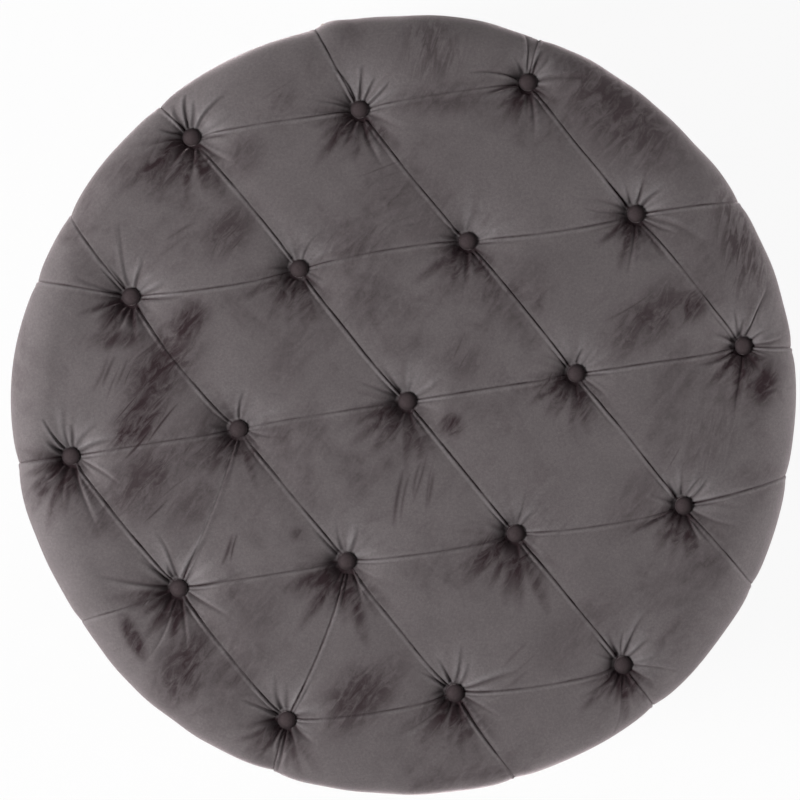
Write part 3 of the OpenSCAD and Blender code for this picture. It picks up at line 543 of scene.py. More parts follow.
def finishes(scene):
    """All materials by name, made once. Most have the name of a material slot in the record."""
    if FINISH + "velvet" not in bpy.data.materials:
        finish = scene.ottoman_finish
        effects = {"pile": pile_group(), "weave": weave_group(), "grain": grain_group(),
                   "rub": rub_group()}
        velvet(effects, finish, "velvet", 0.65)
        velvet(effects, finish, "drum_velvet", 0.22)
        button_velvet(effects, finish)
        woven(effects, "lining", finish.lining, 900.0)
        woven(effects, "wall_lining", finish.lining, 900.0, by_uv=True)
        cellular("dust_cloth", (0.040, 0.040, 0.043), (0.012, 0.012, 0.013), 1400.0, 0.0003,
                 sheen=0.1)
        cellular("foam", (0.84, 0.77, 0.55), (0.62, 0.53, 0.33), 900.0, 0.0006)
        cellular("batting", (0.88, 0.88, 0.86), (0.70, 0.70, 0.68), 500.0, 0.0008, sheen=0.4)
        cellular("glide", (0.085, 0.085, 0.088), (0.045, 0.045, 0.048), 2200.0, 0.0001, rough=0.45,
                 speckle=0.3)
        plywood(effects, finish)
        timber(effects, "bent_board", (0.46, 0.32, 0.20), (0.30, 0.19, 0.11), 0.8, 0.7)
        timber(effects, "softwood", (0.66, 0.48, 0.28), (0.46, 0.29, 0.14), 1.2, 0.65)
        timber(effects, "foot_wood", finish.wood, finish.wood_deep, 2.2, 0.38, coat=0.35)
        twisted("twine", (0.80, 0.75, 0.62), (0.45, 0.40, 0.30))
        metal(effects, "hinge_metal", rgba(finish.brass), rgba(finish.brass, 0.45), 0.36, 0.58)
        metal(effects, "steel", rgba((0.40, 0.40, 0.41)), rgba((0.20, 0.20, 0.21)), 0.28, 0.50)
    return {made.name[len(FINISH):]: made for made in bpy.data.materials
            if made.name.startswith(FINISH)}


# ---- Sections of the upholstery, by length of cloth ----

class Section:
    """An outline in the radius and the height, walked by its length, with its outward normal."""

    def __init__(self, start):
        self.steps, self.length, self.at = [], 0.0, start

    def line(self, r, z, side):
        """Straight on to (r, z). side is 1 if the outside is to the left of the walk."""
        (r0, z0), size = self.at, math.dist(self.at, (r, z))
        along = ((r - r0) / size, (z - z0) / size)
        normal = (-(z - z0) / size * side, (r - r0) / size * side)
        self.steps.append(("line", self.length, size, (r0, z0), along, normal))
        self.length += size
        self.at = (r, z)

    def arc(self, centre, radius, a0, a1):
        """Round a centre from angle a0 to a1, both in radians, with the outside away from it."""
        size = radius * abs(a1 - a0)
        self.steps.append(("arc", self.length, size, centre, radius, (a0, a1)))
        self.length += size
        self.at = (centre[0] + radius * math.cos(a1), centre[1] + radius * math.sin(a1))

    def walk(self, s):
        """Radius, height and normal, in four columns, for an array of lengths."""
        out = np.zeros((len(s), 4))
        for n, step in enumerate(self.steps):
            last = n == len(self.steps) - 1
            here = (s >= step[1] - 1e-12) & ((s < step[1] + step[2]) | last)
            t = s[here] - step[1]
            if step[0] == "line":
                _, _, _, start, along, normal = step
                out[here] = np.stack([start[0] + along[0] * t, start[1] + along[1] * t,
                                      np.full_like(t, normal[0]), np.full_like(t, normal[1])], 1)
            else:
                _, _, size, centre, radius, (a0, a1) = step
                a = a0 + (a1 - a0) * t / size
                cos, sin = np.cos(a), np.sin(a)
                out[here] = np.stack([centre[0] + radius * cos, centre[1] + radius * sin, cos, sin], 1)
        return out


def lid_section(pad):
    """From the middle of the crown over shoulder, side and edge to the raw edge under the lid."""
    low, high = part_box("lid_cover")
    lid_r, top, rim = round(high[0], 3), round(high[2], 3), round(low[2], 3)
    shoulder_x = lid_r - pad.shoulder_r
    crown_r = (shoulder_x ** 2 + pad.crown_rise ** 2) / (2 * pad.crown_rise)
    crown_z = top - crown_r
    widest = crown_z + math.sqrt((crown_r - pad.shoulder_r) ** 2 - shoulder_x ** 2)
    crown_a = math.atan2(widest - crown_z, shoulder_x)
    drop = widest - rim - pad.edge_r
    side_r = (pad.inset ** 2 + drop ** 2) / (2 * pad.inset)
    side_x = lid_r - side_r
    edge_x = side_x + math.sqrt((side_r - pad.edge_r) ** 2 - drop ** 2)
    edge_a = -math.atan2(drop, edge_x - side_x)
    section = Section((0.0, top))
    section.arc((0.0, crown_z), crown_r, math.pi / 2, crown_a)
    section.shoulder = section.length
    section.arc((shoulder_x, widest), pad.shoulder_r, crown_a, 0.0)
    section.widest = section.length
    section.arc((side_x, widest), side_r, 0.0, edge_a)
    section.edge = section.length
    section.arc((edge_x, rim + pad.edge_r), pad.edge_r, edge_a, -math.pi / 2)
    section.under = section.length
    section.line(lid_r - pad.inset - pad.wrap, rim, 1)
    section.crown = (crown_r, crown_z)
    section.edge_x, section.edge_r, section.rim = edge_x, pad.edge_r, rim
    return section


def drum_section(drum, grow=0.0):
    """From the raw edge inside the rim over rim, side and lower edge to the raw edge below.
    grow sets it inwards by that much, for the back of the cloth."""
    low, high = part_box("drum_cover")
    r, foot, top = round(high[0], 3), round(low[2], 4), round(high[2], 4)
    inner = round(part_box("wall_lining")[1][0], 3) - 0.001 + grow
    section = Section((inner, top - drum.inner_wrap))
    turn = 0.0012
    section.line(inner, top - turn, 1)
    section.inside = section.length
    section.arc((inner + turn, top - turn), turn - grow if turn > grow else 1e-5,
                math.pi, math.pi / 2)
    section.at = (inner + turn, top - grow)
    section.line(r - drum.rim_r, top - grow, 1)
    section.rim = section.length
    section.arc((r - drum.rim_r, top - drum.rim_r), drum.rim_r - grow, math.pi / 2, 0.0)
    section.side = section.length
    section.line(r - grow, foot + drum.foot_r, 1)
    section.foot = section.length
    section.arc((r - drum.foot_r, foot + drum.foot_r), drum.foot_r - grow, 0.0, -math.pi / 2)
    section.under = section.length
    section.line(r - drum.under_wrap, foot + grow, 1)
    section.radius, section.top = r, top
    return section


# ---- Cloth laid out flat ----

def radii(points):
    return np.hypot(points[:, 0], points[:, 1])


def revolved(r, a, z):
    """Places at radius r, angle a in radians and height z."""
    return np.stack([r * np.cos(a), r * np.sin(a), z], -1)


def unit(degrees):
    a = math.radians(degrees)
    return np.array([math.cos(a), math.sin(a)])


def bell(x, width):
    """1 where x is 0, and nearly 0 beyond twice the width."""
    return np.exp(-(x / width) ** 2)


def close_to(points, line, margin):
    """Indices of the points in a box round a line."""
    low, high = line.min(0) - margin, line.max(0) + margin
    return np.flatnonzero((points > low).all(1) & (points < high).all(1))


def honeycomb(radius, step, keep):
    """Points on a triangular grid inside a radius, kept where keep(points) is true."""
    rows = int(radius / (step * math.sqrt(3) / 2)) + 1
    columns = int(radius / step) + 1
    q, s = np.meshgrid(np.arange(-columns, columns + 1), np.arange(-rows, rows + 1))
    points = np.stack([(q + 0.5 * (s % 2)) * step, s * step * math.sqrt(3) / 2], -1).reshape(-1, 2)
    points = points[radii(points) < radius - 0.45 * step]
    return points[keep(points)]


def ring(radius, count):
    a = np.arange(count) * 2 * math.pi / count
    return np.stack([radius * np.cos(a), radius * np.sin(a)], -1)


def nearest(points, line):
    """For each point: distance to a polyline, signed by its side, and the share of the
    polyline's length at the nearest place."""
    a, b = line[:-1], line[1:]
    along = b - a
    size = np.hypot(along[:, 0], along[:, 1])
    rel = points[:, None, :] - a[None]
    t = np.clip((rel * along).sum(-1) / size ** 2, 0, 1)
    gap = rel - t[..., None] * along
    dist = np.hypot(gap[..., 0], gap[..., 1])
    best = dist.argmin(1)
    pick = np.arange(len(points))
    cross = along[best, 0] * rel[pick, best, 1] - along[best, 1] * rel[pick, best, 0]
    done = np.concatenate([[0], np.cumsum(size)])
    share = (done[best] + t[pick, best] * size[best]) / done[-1]
    return dist[pick, best] * np.sign(cross + 1e-15), share


def triangles(points, hole=0.0):
    """Corner indices of the triangles between points, anticlockwise, without those in a hole."""
    made = delaunay_2d_cdt([tuple(p) for p in points], [], [], 0, 1e-9)
    verts, faces = np.array([tuple(v) for v in made[0]]), np.array(made[2])
    if len(verts) != len(points):
        raise RuntimeError("two points of the cloth fall together")
    where = np.array([v[0] for v in made[3]])
    faces = where[faces]
    a, b, c = points[faces[:, 0]], points[faces[:, 1]], points[faces[:, 2]]
    turn = (b[:, 0] - a[:, 0]) * (c[:, 1] - a[:, 1]) - (b[:, 1] - a[:, 1]) * (c[:, 0] - a[:, 0])
    faces[turn < 0] = faces[turn < 0][:, ::-1]
    middle = (a + b + c) / 3
    sound = (np.abs(turn) > 1e-13) & (radii(middle) > hole)
    return faces[sound]


def clear_of(points, taken, gap):
    """The points that share no square cell, as wide as gap, with a taken point."""
    full = {(x, y) for x, y in np.floor(taken / gap).astype(int)}
    keep = np.array([(x, y) not in full for x, y in np.floor(points / gap).astype(int)])
    return points[keep]


def mesh_object(name, verts, faces, attributes=(), uv=None):
    """A mesh object of triangles and quads, with point attributes and a UV map."""
    mesh = bpy.data.meshes.new(name)
    mesh.from_pydata([tuple(v) for v in verts], [], [tuple(int(i) for i in f) for f in faces])
    for label, values in dict(attributes).items():
        layer = mesh.attributes.new(label, "FLOAT", "POINT")
        layer.data.foreach_set("value", np.ascontiguousarray(values, dtype=np.float32))
    if uv is not None:
        layer = mesh.uv_layers.new(name="cloth")
        corners = np.zeros(len(mesh.loops), dtype=np.int32)
        mesh.loops.foreach_get("vertex_index", corners)
        layer.data.foreach_set("uv", uv[corners].astype(np.float32).ravel())
    mesh.polygons.foreach_set("use_smooth", np.ones(len(mesh.polygons), dtype=bool))
    mesh.update()
    made = bpy.data.objects.new(name, mesh)
    bpy.context.scene.collection.objects.link(made)
    return made


def quads_between(low, high):
    """Quads from a ring of vertex indices to the next one."""
    count = len(low)
    return [(low[i], high[i], high[(i + 1) % count], low[(i + 1) % count]) for i in range(count)]


def ring_rows(first, rows, start):
    """Quads from a ring of vertex indices on through rows of (radius, height). Ends in a middle
    point where a row's radius is 0. Gives the new vertices, numbered from start, and the faces."""
    verts, faces, last = [], [], np.asarray(first)
    count = len(last)
    a = np.arange(count) * 2 * math.pi / count
    for r, z in rows:
        if r == 0:
            verts.append(np.array([[0.0, 0.0, z]]))
            faces += [(last[i], start, last[(i + 1) % count]) for i in range(count)]
            return np.concatenate(verts), faces
        verts.append(revolved(r, a, np.full(count, z)))
        here = np.arange(start, start + count)
        faces += quads_between(last, here)
        last, start = here, start + count
    return np.concatenate(verts), faces


def finish_piece(piece, body, material, nodes):
    """Gives a piece its material, its body and the nodes that it replaces."""
    piece.data.materials.append(material)
    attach(piece, body)
    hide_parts(*nodes)


# ---- The buttoned lid ----

def button_seats(section):
    """Where each button draws the cloth in, on the cloth laid flat, by its steps."""
    node = frame["nodes"]["tuft_buttons"]
    left = np.array([tuple(node.matrix_world @ v.co) for v in node.data.vertices])
    crown_r, crown_z = section.crown
    seats = []
    while len(left):
        near = np.linalg.norm(left - left[0], axis=1) < 0.03
        c = (left[near].min(0) + left[near].max(0)) / 2 - (0, 0, crown_z)
        s = crown_r * math.atan2(math.hypot(c[0], c[1]), c[2])
        a = math.atan2(c[1], c[0])
        seats.append((s * math.cos(a), s * math.sin(a)))
        left = left[~near]
    seats = np.array(seats)
    middle = seats[radii(seats).argmin()]
    rel = seats - middle
    first = min((r for r in rel if math.hypot(*r) > 0.01 and -0.5 < math.atan2(r[1], r[0]) < 0.55),
                key=lambda r: math.hypot(*r))
    turn = complex(*first)
    named = {}
    for q, s in STEPS:
        aim = q * turn + s * turn * complex(math.cos(-math.pi / 3), math.sin(-math.pi / 3))
        gaps = np.hypot(rel[:, 0] - aim.real, rel[:, 1] - aim.imag)
        named[(q, s)] = seats[gaps.argmin()]
    return named


def bent(a, b, bow, count=12):
    """A slightly bowed line from a to b."""
    t = np.linspace(0, 1, count)[:, None]
    side = np.array([-(b - a)[1], (b - a)[0]]) / np.linalg.norm(b - a)
    wander = 0.25 * np.sin(2 * math.pi * t + bow * 900) \
        + 0.12 * np.sin(4 * math.pi * t - bow * 2000)
    return a + (b - a) * t + side * (bow * 4 + 0.0035 * wander) * t * (1 - t) * (1 + 1.5 * t)


def pleat_lines(section, seats, rng):
    """Every pleat as (line, strength, valley, to_edge), on the cloth laid flat. The folded-over side
    of each lies to the right of its line, which is the lower side on the finished lid."""
    lines = []
    for pairs, strength, valley in ((ROW_PLEATS, 0.72, 0.0015), (DIAGONAL_PLEATS, 1.0, 0.0028)):
        for a, b in pairs:
            bow = rng.uniform(-0.0030, 0.0030) - (0.0010 if pairs is ROW_PLEATS else 0)
            lines.append((bent(seats[a], seats[b], bow), strength * rng.uniform(0.8, 1.15),
                          valley, False))
    for a, b, strength in CROSS_PLEATS:
        lines.append((bent(seats[b], seats[a], -0.004), strength, 0.0015 * strength, False))
    walked = np.linspace(0, section.widest, 400)
    reach = section.walk(walked)[:, 0]
    for a, heading, crossing, strength in EDGE_PLEATS:
        start, bend = seats[a], unit(crossing)
        start = start * (np.interp(np.hypot(*start), walked, reach) / np.hypot(*start))
        edge = bend * (reach[-1] - 0.0004)
        t = np.linspace(0, 1, 24)[:, None]
        lean = start + unit(heading) * np.linalg.norm(edge - start) * 0.45
        top = start * (1 - t) ** 2 + lean * 2 * t * (1 - t) + edge * t ** 2
        r = radii(top)
        top *= (np.interp(r, reach, walked) / r)[:, None]
        over = [bend * (section.widest + 0.02), bend * (section.edge - 0.004)]
        line = np.concatenate([top, over])
        lines.append((line, strength * 0.8, 0.0013 * strength, True))
    return lines


def stroke_lines(rng):
    """The single strokes in the pile, as (line, strength, width)."""
    made = []
    for x, y, heading, size, count, apart, strength in STROKES:
        for k in range(count):
            way = unit(heading + rng.uniform(-6, 6))
            side = np.array([-way[1], way[0]])
            half = size * rng.uniform(0.3, 0.6)
            aside = side * apart * (k - (count - 1) / 2 + rng.uniform(-0.35, 0.35))
            middle = np.array([x, y]) + aside + way * rng.uniform(-0.3, 0.3) * size
            t = np.linspace(-1, 1, 7)[:, None]
            line = middle + way * half * t + side * half * 0.12 * rng.uniform(-1, 1) * t ** 2
            made.append((line * MM, strength * rng.uniform(0.6, 1.1), rng.uniform(0.0011, 0.0024)))
    return made


def wrinkle_lines(seats, pad, rng):
    """Short wrinkles that run out from the buttons, as (line, height, width)."""
    made = []
    for step in STEPS:
        outer = max(abs(step[0]), abs(step[1]), abs(sum(step))) == 2
        count = pad.wrinkles + (5 if outer else 0)
        start = rng.uniform(0, 2 * math.pi)
        for k in range(count):
            heading = start + 2 * math.pi * (k + rng.uniform(-0.42, 0.42)) / count
            size = rng.uniform(0.014, 0.040) * (1.45 if outer else 1.0)
            size *= 1.35 if k % 3 == 0 else 1.0
            t = np.linspace(0, 1, 9)
            r = 0.0094 + size * t
            a = heading + rng.uniform(-0.22, 0.22) * t ** 1.5
            line = seats[step] + np.stack([r * np.cos(a), r * np.sin(a)], 1)
            height = rng.uniform(0.0010, 0.0030) * (1.2 if outer else 1.0)
            made.append((line, height, rng.uniform(0.0012, 0.0023)))
    return made


def beside(line, first, step, offsets):
    """Points in rows alongside a line."""
    size = np.hypot(*np.diff(line, axis=0).T)
    done = np.concatenate([[0], np.cumsum(size)])
    at = np.arange(first, done[-1] - 0.0004, step)
    if len(at) < 2:
        return np.zeros((0, 2))
    x, y = np.interp(at, done, line[:, 0]), np.interp(at, done, line[:, 1])
    way = np.stack([np.gradient(x), np.gradient(y)], 1)
    way /= np.linalg.norm(way, axis=1)[:, None]
    side = np.stack([-way[:, 1], way[:, 0]], 1)
    return np.concatenate([np.stack([x, y], 1) + side * gap + way * (step / 2 * (n % 2))
                           for n, gap in enumerate(offsets)])


def thinned(points, cell):
    """At most one point in each square cell, the first one given."""
    _, first = np.unique(np.floor(points / cell).astype(int), axis=0, return_index=True)
    return points[np.sort(first)]


def leaf_recess(half, edge, radius, length, sign):
    """Points on both sides of the edges of the hinge leaves' recesses, laid flat. The section's
    flat part meets an arc of that radius at edge from the middle and at length along the section.
    sign is 1 if the section runs outwards there, and -1 if it runs inwards."""
    points = []
    for middle in (-HINGE_X, HINGE_X):
        for gap in (-AIR, AIR):
            y = np.arange(*RECESS_Y, 0.0012)
            x = np.arange(middle - half, middle + half, 0.0024)
            points += [np.stack([np.full_like(y, middle - half + gap), y], 1),
                       np.stack([np.full_like(y, middle + half + gap), y], 1),
                       np.stack([x, np.full_like(x, LEAF_FRONT + gap)], 1)]
    points = np.concatenate(points)
    r = radii(points)
    flat = length + sign * (r - edge)
    arc = length + sign * radius * np.arcsin(np.clip((r - edge) / radius, 0, 0.99))
    return points / r[:, None] * np.where(r < edge, flat, arc)[:, None]


def over_leaf(place, half):
    """Which places lie over or under a hinge leaf."""
    return (np.abs(np.abs(place[:, 0]) - HINGE_X) < half) & (place[:, 1] > LEAF_FRONT)


def from_button(points, seats):
    """Each point's distance to the nearest button."""
    return np.min([radii(points - seat) for seat in seats.values()], axis=0)


def lid_points(section, seats, lines, wrinkles, strokes):
    """Points of the lid's cloth laid flat: close together at buttons, pleats and hinge recesses."""
    total, near, middling, outer = section.length, 0.024, 0.055, 0.43

    def beside_all(lines, first, step, offsets):
        return np.concatenate([beside(line, first, step, offsets) for line, *_ in lines])

    crease = beside_all(lines, 0.0105, 0.0018, (
        0.0, 0.00045, -0.0004, 0.0010, -0.0009, 0.0018, -0.0016, 0.0028, -0.0024, -0.0032, -0.0039,
        -0.0046, -0.0054, -0.0064))
    crease = crease[radii(crease) < section.edge]
    small = beside_all(wrinkles, 0.0008, 0.0018, (
        0, 0.0008, -0.0008, 0.0017, -0.0017, 0.0028, -0.0028))
    thin = beside_all(strokes, 0.0, 0.0024, (0, 0.0012, -0.0012, 0.0026, -0.0026))
    small = np.concatenate([small, clear_of(thin, small, 0.001)])
    marked = thinned(np.concatenate([crease, clear_of(small, crease, 0.0008)]), 0.0007)
    marked = marked[from_button(marked, seats) > 0.0104]
    layers = [
        (0.0015, lambda d, r: d < near),
        (0.0024, lambda d, r: (d >= near) & (d < middling)),
        (0.0036, lambda d, r: (d >= middling) & (r < outer)),
        (0.0044, lambda d, r: (d >= middling) & (r >= outer) & (r < section.under)),
        (0.0075, lambda d, r: r >= section.under)]
    points = [marked]
    for step, keep in layers:
        layer = honeycomb(total, step, lambda p: keep(from_button(p, seats), radii(p)))
        points.append(clear_of(layer, marked, max(step * 0.62, 0.0013)))
    points = np.concatenate(points)
    points = points[radii(points) < total - 0.004]
    recess = leaf_recess(LID_LEAF_HALF, section.edge_x, section.edge_r, section.under, -1)
    points = thinned(np.concatenate([recess, clear_of(points, recess, 0.003)]), 0.0004)
    return np.concatenate([points, ring(total, LID_RIM)])


def pleat_relief(g, from_end, strength, valley):
    """Height and painted shade across a pleat: a sharp crease, and the rolled-over cloth beside it."""
    near = np.exp(-from_end / 0.038)
    uneven = 1 + 0.25 * np.sin(from_end * 95 + strength * 40) \
        + 0.15 * np.sin(from_end * 210 + valley * 9e3)
    wide = 0.0060 - 0.0032 * np.exp(-from_end / 0.030)
    crease = (0.0014 * strength ** 1.4 + 0.0018 * near) * uneven
    second = crease * (0.06 + 0.94 * bell(from_end, 0.048))
    lift = -valley * (1 + 0.6 * near) * bell(g, 0.016)
    lift -= crease * bell(g, 0.00075) + second * bell(g + wide, 0.0010)
    lift += (0.0006 * strength + 0.0010 * near) * uneven * bell(g + wide * 0.48, wide * 0.32)
    # Painted shade along the crease, and along the second crease near the buttons.
    fold = (0.85 * strength ** 1.8 + 0.62 * near) * uneven * bell(g, 0.00085)
    fold = np.maximum(fold, 0.85 * (second / crease) * near ** 0.6 * bell(g + wide, 0.0009))
    return lift, fold


class Relief:
    """How far each point of the cloth stands out from the plain lid (lift); the painted shade in its
    creases, gathers and hollows, with the pile's own strokes (shadeandstrokes); and how its pile lies:
    laid against its lie, with painted shade below the buttons as well (brushedandshade), and combed up
    and down (combed). The painted highlights beside its folds and above its buttons are in highlight."""

    def __init__(self, count):
        self.lift, self.fold, self.brushed, self.combed, self.raised = np.zeros((5, count))

    def press_buttons(self, points, seats, pad, rng):
        """Hollows round the buttons, with painted shade on their lower left, painted highlights on
        their upper right, and a thin painted dark ring at each button's edge.
        """
        depth = pad.hollow - 0.0035
        for seat in seats.values():
            rel = points - seat
            d, round_it = radii(rel), np.arctan2(rel[:, 1], rel[:, 0])
            self.lift -= depth * np.exp(-np.maximum(d - 0.009, 0) / pad.hollow_reach)
            self.lift -= pad.pillow * bell(d, 0.050)
            # Painted shade on the lower left of each button, with a ragged edge, also put into the
            # laid-patch mark.
            ragged = sum(np.sin(n * round_it + rng.uniform(0, 6.3)) for n in (5, 9, 14, 22)) * 0.13
            spread_to = rng.uniform(0.034, 0.052) * (1 + ragged)
            facing = np.clip(np.cos(round_it - math.radians(rng.uniform(238, 262))) * 1.25, 0, 1)
            shade = np.clip(1.5 - d / spread_to, 0, 1) * facing * rng.uniform(0.75, 1.0)
            self.fold = np.maximum(self.fold, shade * np.clip(1.50 - d / 0.032, 0.36, 1.0))
            self.brushed = np.maximum(self.brushed, 0.74 * shade)
            # Painted highlight on the upper right of each button.
            lit = np.clip(np.cos(round_it - math.radians(rng.uniform(50, 75))) * 1.3, 0, 1)
            self.raised += 0.65 * (lit * (1 + 2 * ragged)) * bell(d, 0.038)
            # Painted shade in a thin ring where the cloth runs in under the button.
            self.fold = np.maximum(self.fold, bell(np.maximum(d - 0.0098, 0), 0.0012) * 0.75)

    def press_pleat(self, points, section, line, strength, valley, to_edge):
        where = close_to(points, line, 0.05)
        g, t = nearest(points[where], line)
        if to_edge and (line[-1] - line[0])[0] < 0:
            g = -g
        size = np.hypot(*np.diff(line, axis=0).T).sum()
        inside = ((t > 0.0005) & (t < 0.9995)) * 1.0
        from_end = t * size if to_edge else np.minimum(t, 1 - t) * size
        up, dark = pleat_relief(g, from_end, strength, valley)
        # Painted highlights on the rolled cloth on both sides of the pleat.
        self.raised[where] += 0.65 * strength * (0.5 + 0.5 * np.exp(-from_end / 0.06)) * inside * (
            bell(g + 0.0030, 0.0016) + 0.5 * bell(g - 0.0026, 0.0014))
        # A faint painted highlight along the weaker pleats.
        faint = 0.5 * np.clip(0.6 - strength, 0, 0.2) / 0.2
        self.raised[where] += faint * inside * bell(g - 0.0014, 0.0011)
        out = np.clip((radii(points[where]) - section.shoulder + 0.01) / 0.04, 0, 1) * to_edge
        up -= 0.0009 * strength * out * bell(g, 0.007)
        self.lift[where] += up * inside
        # Painted shade in the pleat's creases.
        self.fold[where] = np.maximum(self.fold[where], np.clip(dark, 0, 1) * inside)

    def press_wrinkle(self, points, line, height, width):
        where = close_to(points, line, 0.01)
        g, t = nearest(points[where], line)
        w = width * (1 + 0.6 * t)
        fade = height * (1 - t) ** 0.7 * np.clip(t / 0.06, 0, 1)
        self.lift[where] += fade * (0.8 * bell(g - 1.6 * w, w) - bell(g, w))
        # Painted shade in the wrinkle's trough, and a painted highlight on the ridge beside it.
        self.fold[where] += 0.42 * fade / 0.0020 * bell(g, 0.8 * w)
        self.raised[where] += 0.40 * fade / 0.0020 * bell(g - 1.6 * w, w)

    def draw_stroke(self, points, line, strength, width):
        where = close_to(points, line, 0.01)
        g, t = nearest(points[where], line)
        inside = (t > 0.001) & (t < 0.999)
        dark = 1.55 * strength * np.sin(math.pi * np.clip(t, 0, 1)) ** 0.7 * bell(g, width) * inside
        self.fold[where] = np.maximum(self.fold[where], dark)

    def pull_outline(self, s, a, section):
        """A hand-pulled outline: fuller at the front and left, flatter at the back, scalloped."""
        outline = (-0.0046 * np.cos(a - math.radians(46)) + 0.0028 * np.cos(a + math.radians(57))
                   + 0.0020 * np.cos(2 * a - math.radians(40))
                   + 0.0012 * np.cos(3 * a - math.radians(175))
                   + 0.0006 * np.cos(5 * a - math.radians(170))
                   + 0.0012 * np.cos(6 * a - math.radians(34))
                   + 0.0010 * np.sin(7 * a - 1.0) + 0.0005 * np.sin(13 * a + 0.4)
                   + 0.0040 * np.exp(-((a - math.radians(91)) / 0.24) ** 4)
                   + 0.0044 * bell(a - math.radians(101.7), 0.045))
        self.lift += bell(s - section.widest, 0.042) * outline

    def gather_edge(self, s, a, section):
        """The gathers from the edge to the raw edge under the lid, with painted shade along them."""
        gathers = np.clip((s - section.edge + 0.006) / 0.02, 0, 1) * (s < section.length - 1e-6)
        gather = np.abs(np.sin(a * 46 + 1.7 * np.sin(a * 5)))
        self.lift -= gathers * 0.0009 * gather ** 1.5
        # Painted shade in thin lines along the gathers' pinched creases.
        self.fold = np.maximum(self.fold, 0.5 * gathers * (1 - gather) ** 6)

    def brush(self, points):
        """The patches laid against the pile's lie. Those that run up and down are combed."""
        for x, y, size, wide, heading, strength in BRUSHED:
            c, n = unit(heading)
            dx, dy = points[:, 0] - x * MM, points[:, 1] - y * MM
            u, v = (dx * c + dy * n) / (size * MM), (dy * c - dx * n) / (wide * MM)
            mark = strength * np.exp(-(u * u + v * v) ** 1.4)
            if 65 < heading < 115:
                self.combed += mark
            else:
                self.brushed = np.maximum(self.brushed, mark)

    def marks(self):
        """What the velvet's finish reads from the mesh."""
        return {"fold": np.clip(self.fold, 0, 1), "brushed": np.clip(self.brushed * 1.85, 0, 1),
                "combed": np.clip(self.combed * 1.5, 0, 1), "raised": np.clip(self.raised, 0, 1)}


def lid_relief(points, section, seats, lines, wrinkles, strokes, pad, rng):
    """The relief of the lid's velvet, without its swell."""
    s, a = radii(points), np.arctan2(points[:, 1], points[:, 0])
    relief = Relief(len(points))
    relief.press_buttons(points, seats, pad, rng)
    for line in lines:
        relief.press_pleat(points, section, *line)
    for line in wrinkles:
        relief.press_wrinkle(points, *line)
    for line in strokes:
        relief.draw_stroke(points, *line)
    top = np.clip((section.edge - s) / 0.03, 0, 1)
    near_button = from_button(points, seats)
    under_button = np.clip((0.0118 - near_button) / 0.0015, 0, 1)
    deepest = pad.hollow + AIR
    relief.lift = relief.lift * (1 - under_button) - deepest * under_button
    relief.lift = np.maximum(relief.lift, -deepest) * top
    relief.pull_outline(s, a, section)
    waves = (np.sin(points[:, 0] * 41 + 1.3) * np.sin(points[:, 1] * 37 + 0.4) * 0.0007
             + np.sin(points[:, 0] * 83 - points[:, 1] * 57) * 0.0003)
    relief.lift += waves * np.clip((near_button - 0.02) / 0.03, 0, 1) * top
    relief.gather_edge(s, a, section)
    relief.brush(points)
    return relief


def blown_up(start, faces, held):
    """Where a cloth ends that is held at some vertices, by a share, and blown up from below."""
    scene = bpy.context.scene
    cloth = mesh_object("swelling_cloth", start, faces)
    pins = cloth.vertex_groups.new(name="held")
    held = np.round(held, 2)
    for level in np.unique(held):
        pins.add(np.flatnonzero(held == level).tolist(), float(level), "REPLACE")
    made = cloth.modifiers.new("cloth", "CLOTH")
    made.settings.vertex_group_mass = "held"
    made.settings.quality = 5
    made.settings.mass = 0.3
    made.settings.tension_stiffness = made.settings.compression_stiffness = 22
    made.settings.shear_stiffness, made.settings.bending_stiffness = 12, 1.5
    made.settings.use_pressure, made.settings.uniform_pressure_force = True, 4.0
    made.settings.effector_weights.gravity = 0
    made.collision_settings.use_collision = False
    for frame_number in range(1, 21):
        scene.frame_set(frame_number)
    mesh = cloth.evaluated_get(bpy.context.evaluated_depsgraph_get()).data
    end = np.zeros(len(start) * 3)
    mesh.vertices.foreach_get("co", end)
    scene.frame_set(1)
    bpy.data.objects.remove(cloth)
    return end.reshape(-1, 3)


def read_grid(values, u, v):
    """Values of a square grid at places (u, v) counted in its steps."""
    n = len(values)
    u, v = np.clip(u, 0, n - 1.001), np.clip(v, 0, n - 1.001)
    i, j = u.astype(int), v.astype(int)
    fu, fv = u - i, v - j
    return (values[j, i] * (1 - fu) + values[j, i + 1] * fu) * (1 - fv) \
        + (values[j + 1, i] * (1 - fu) + values[j + 1, i + 1] * fu) * fv


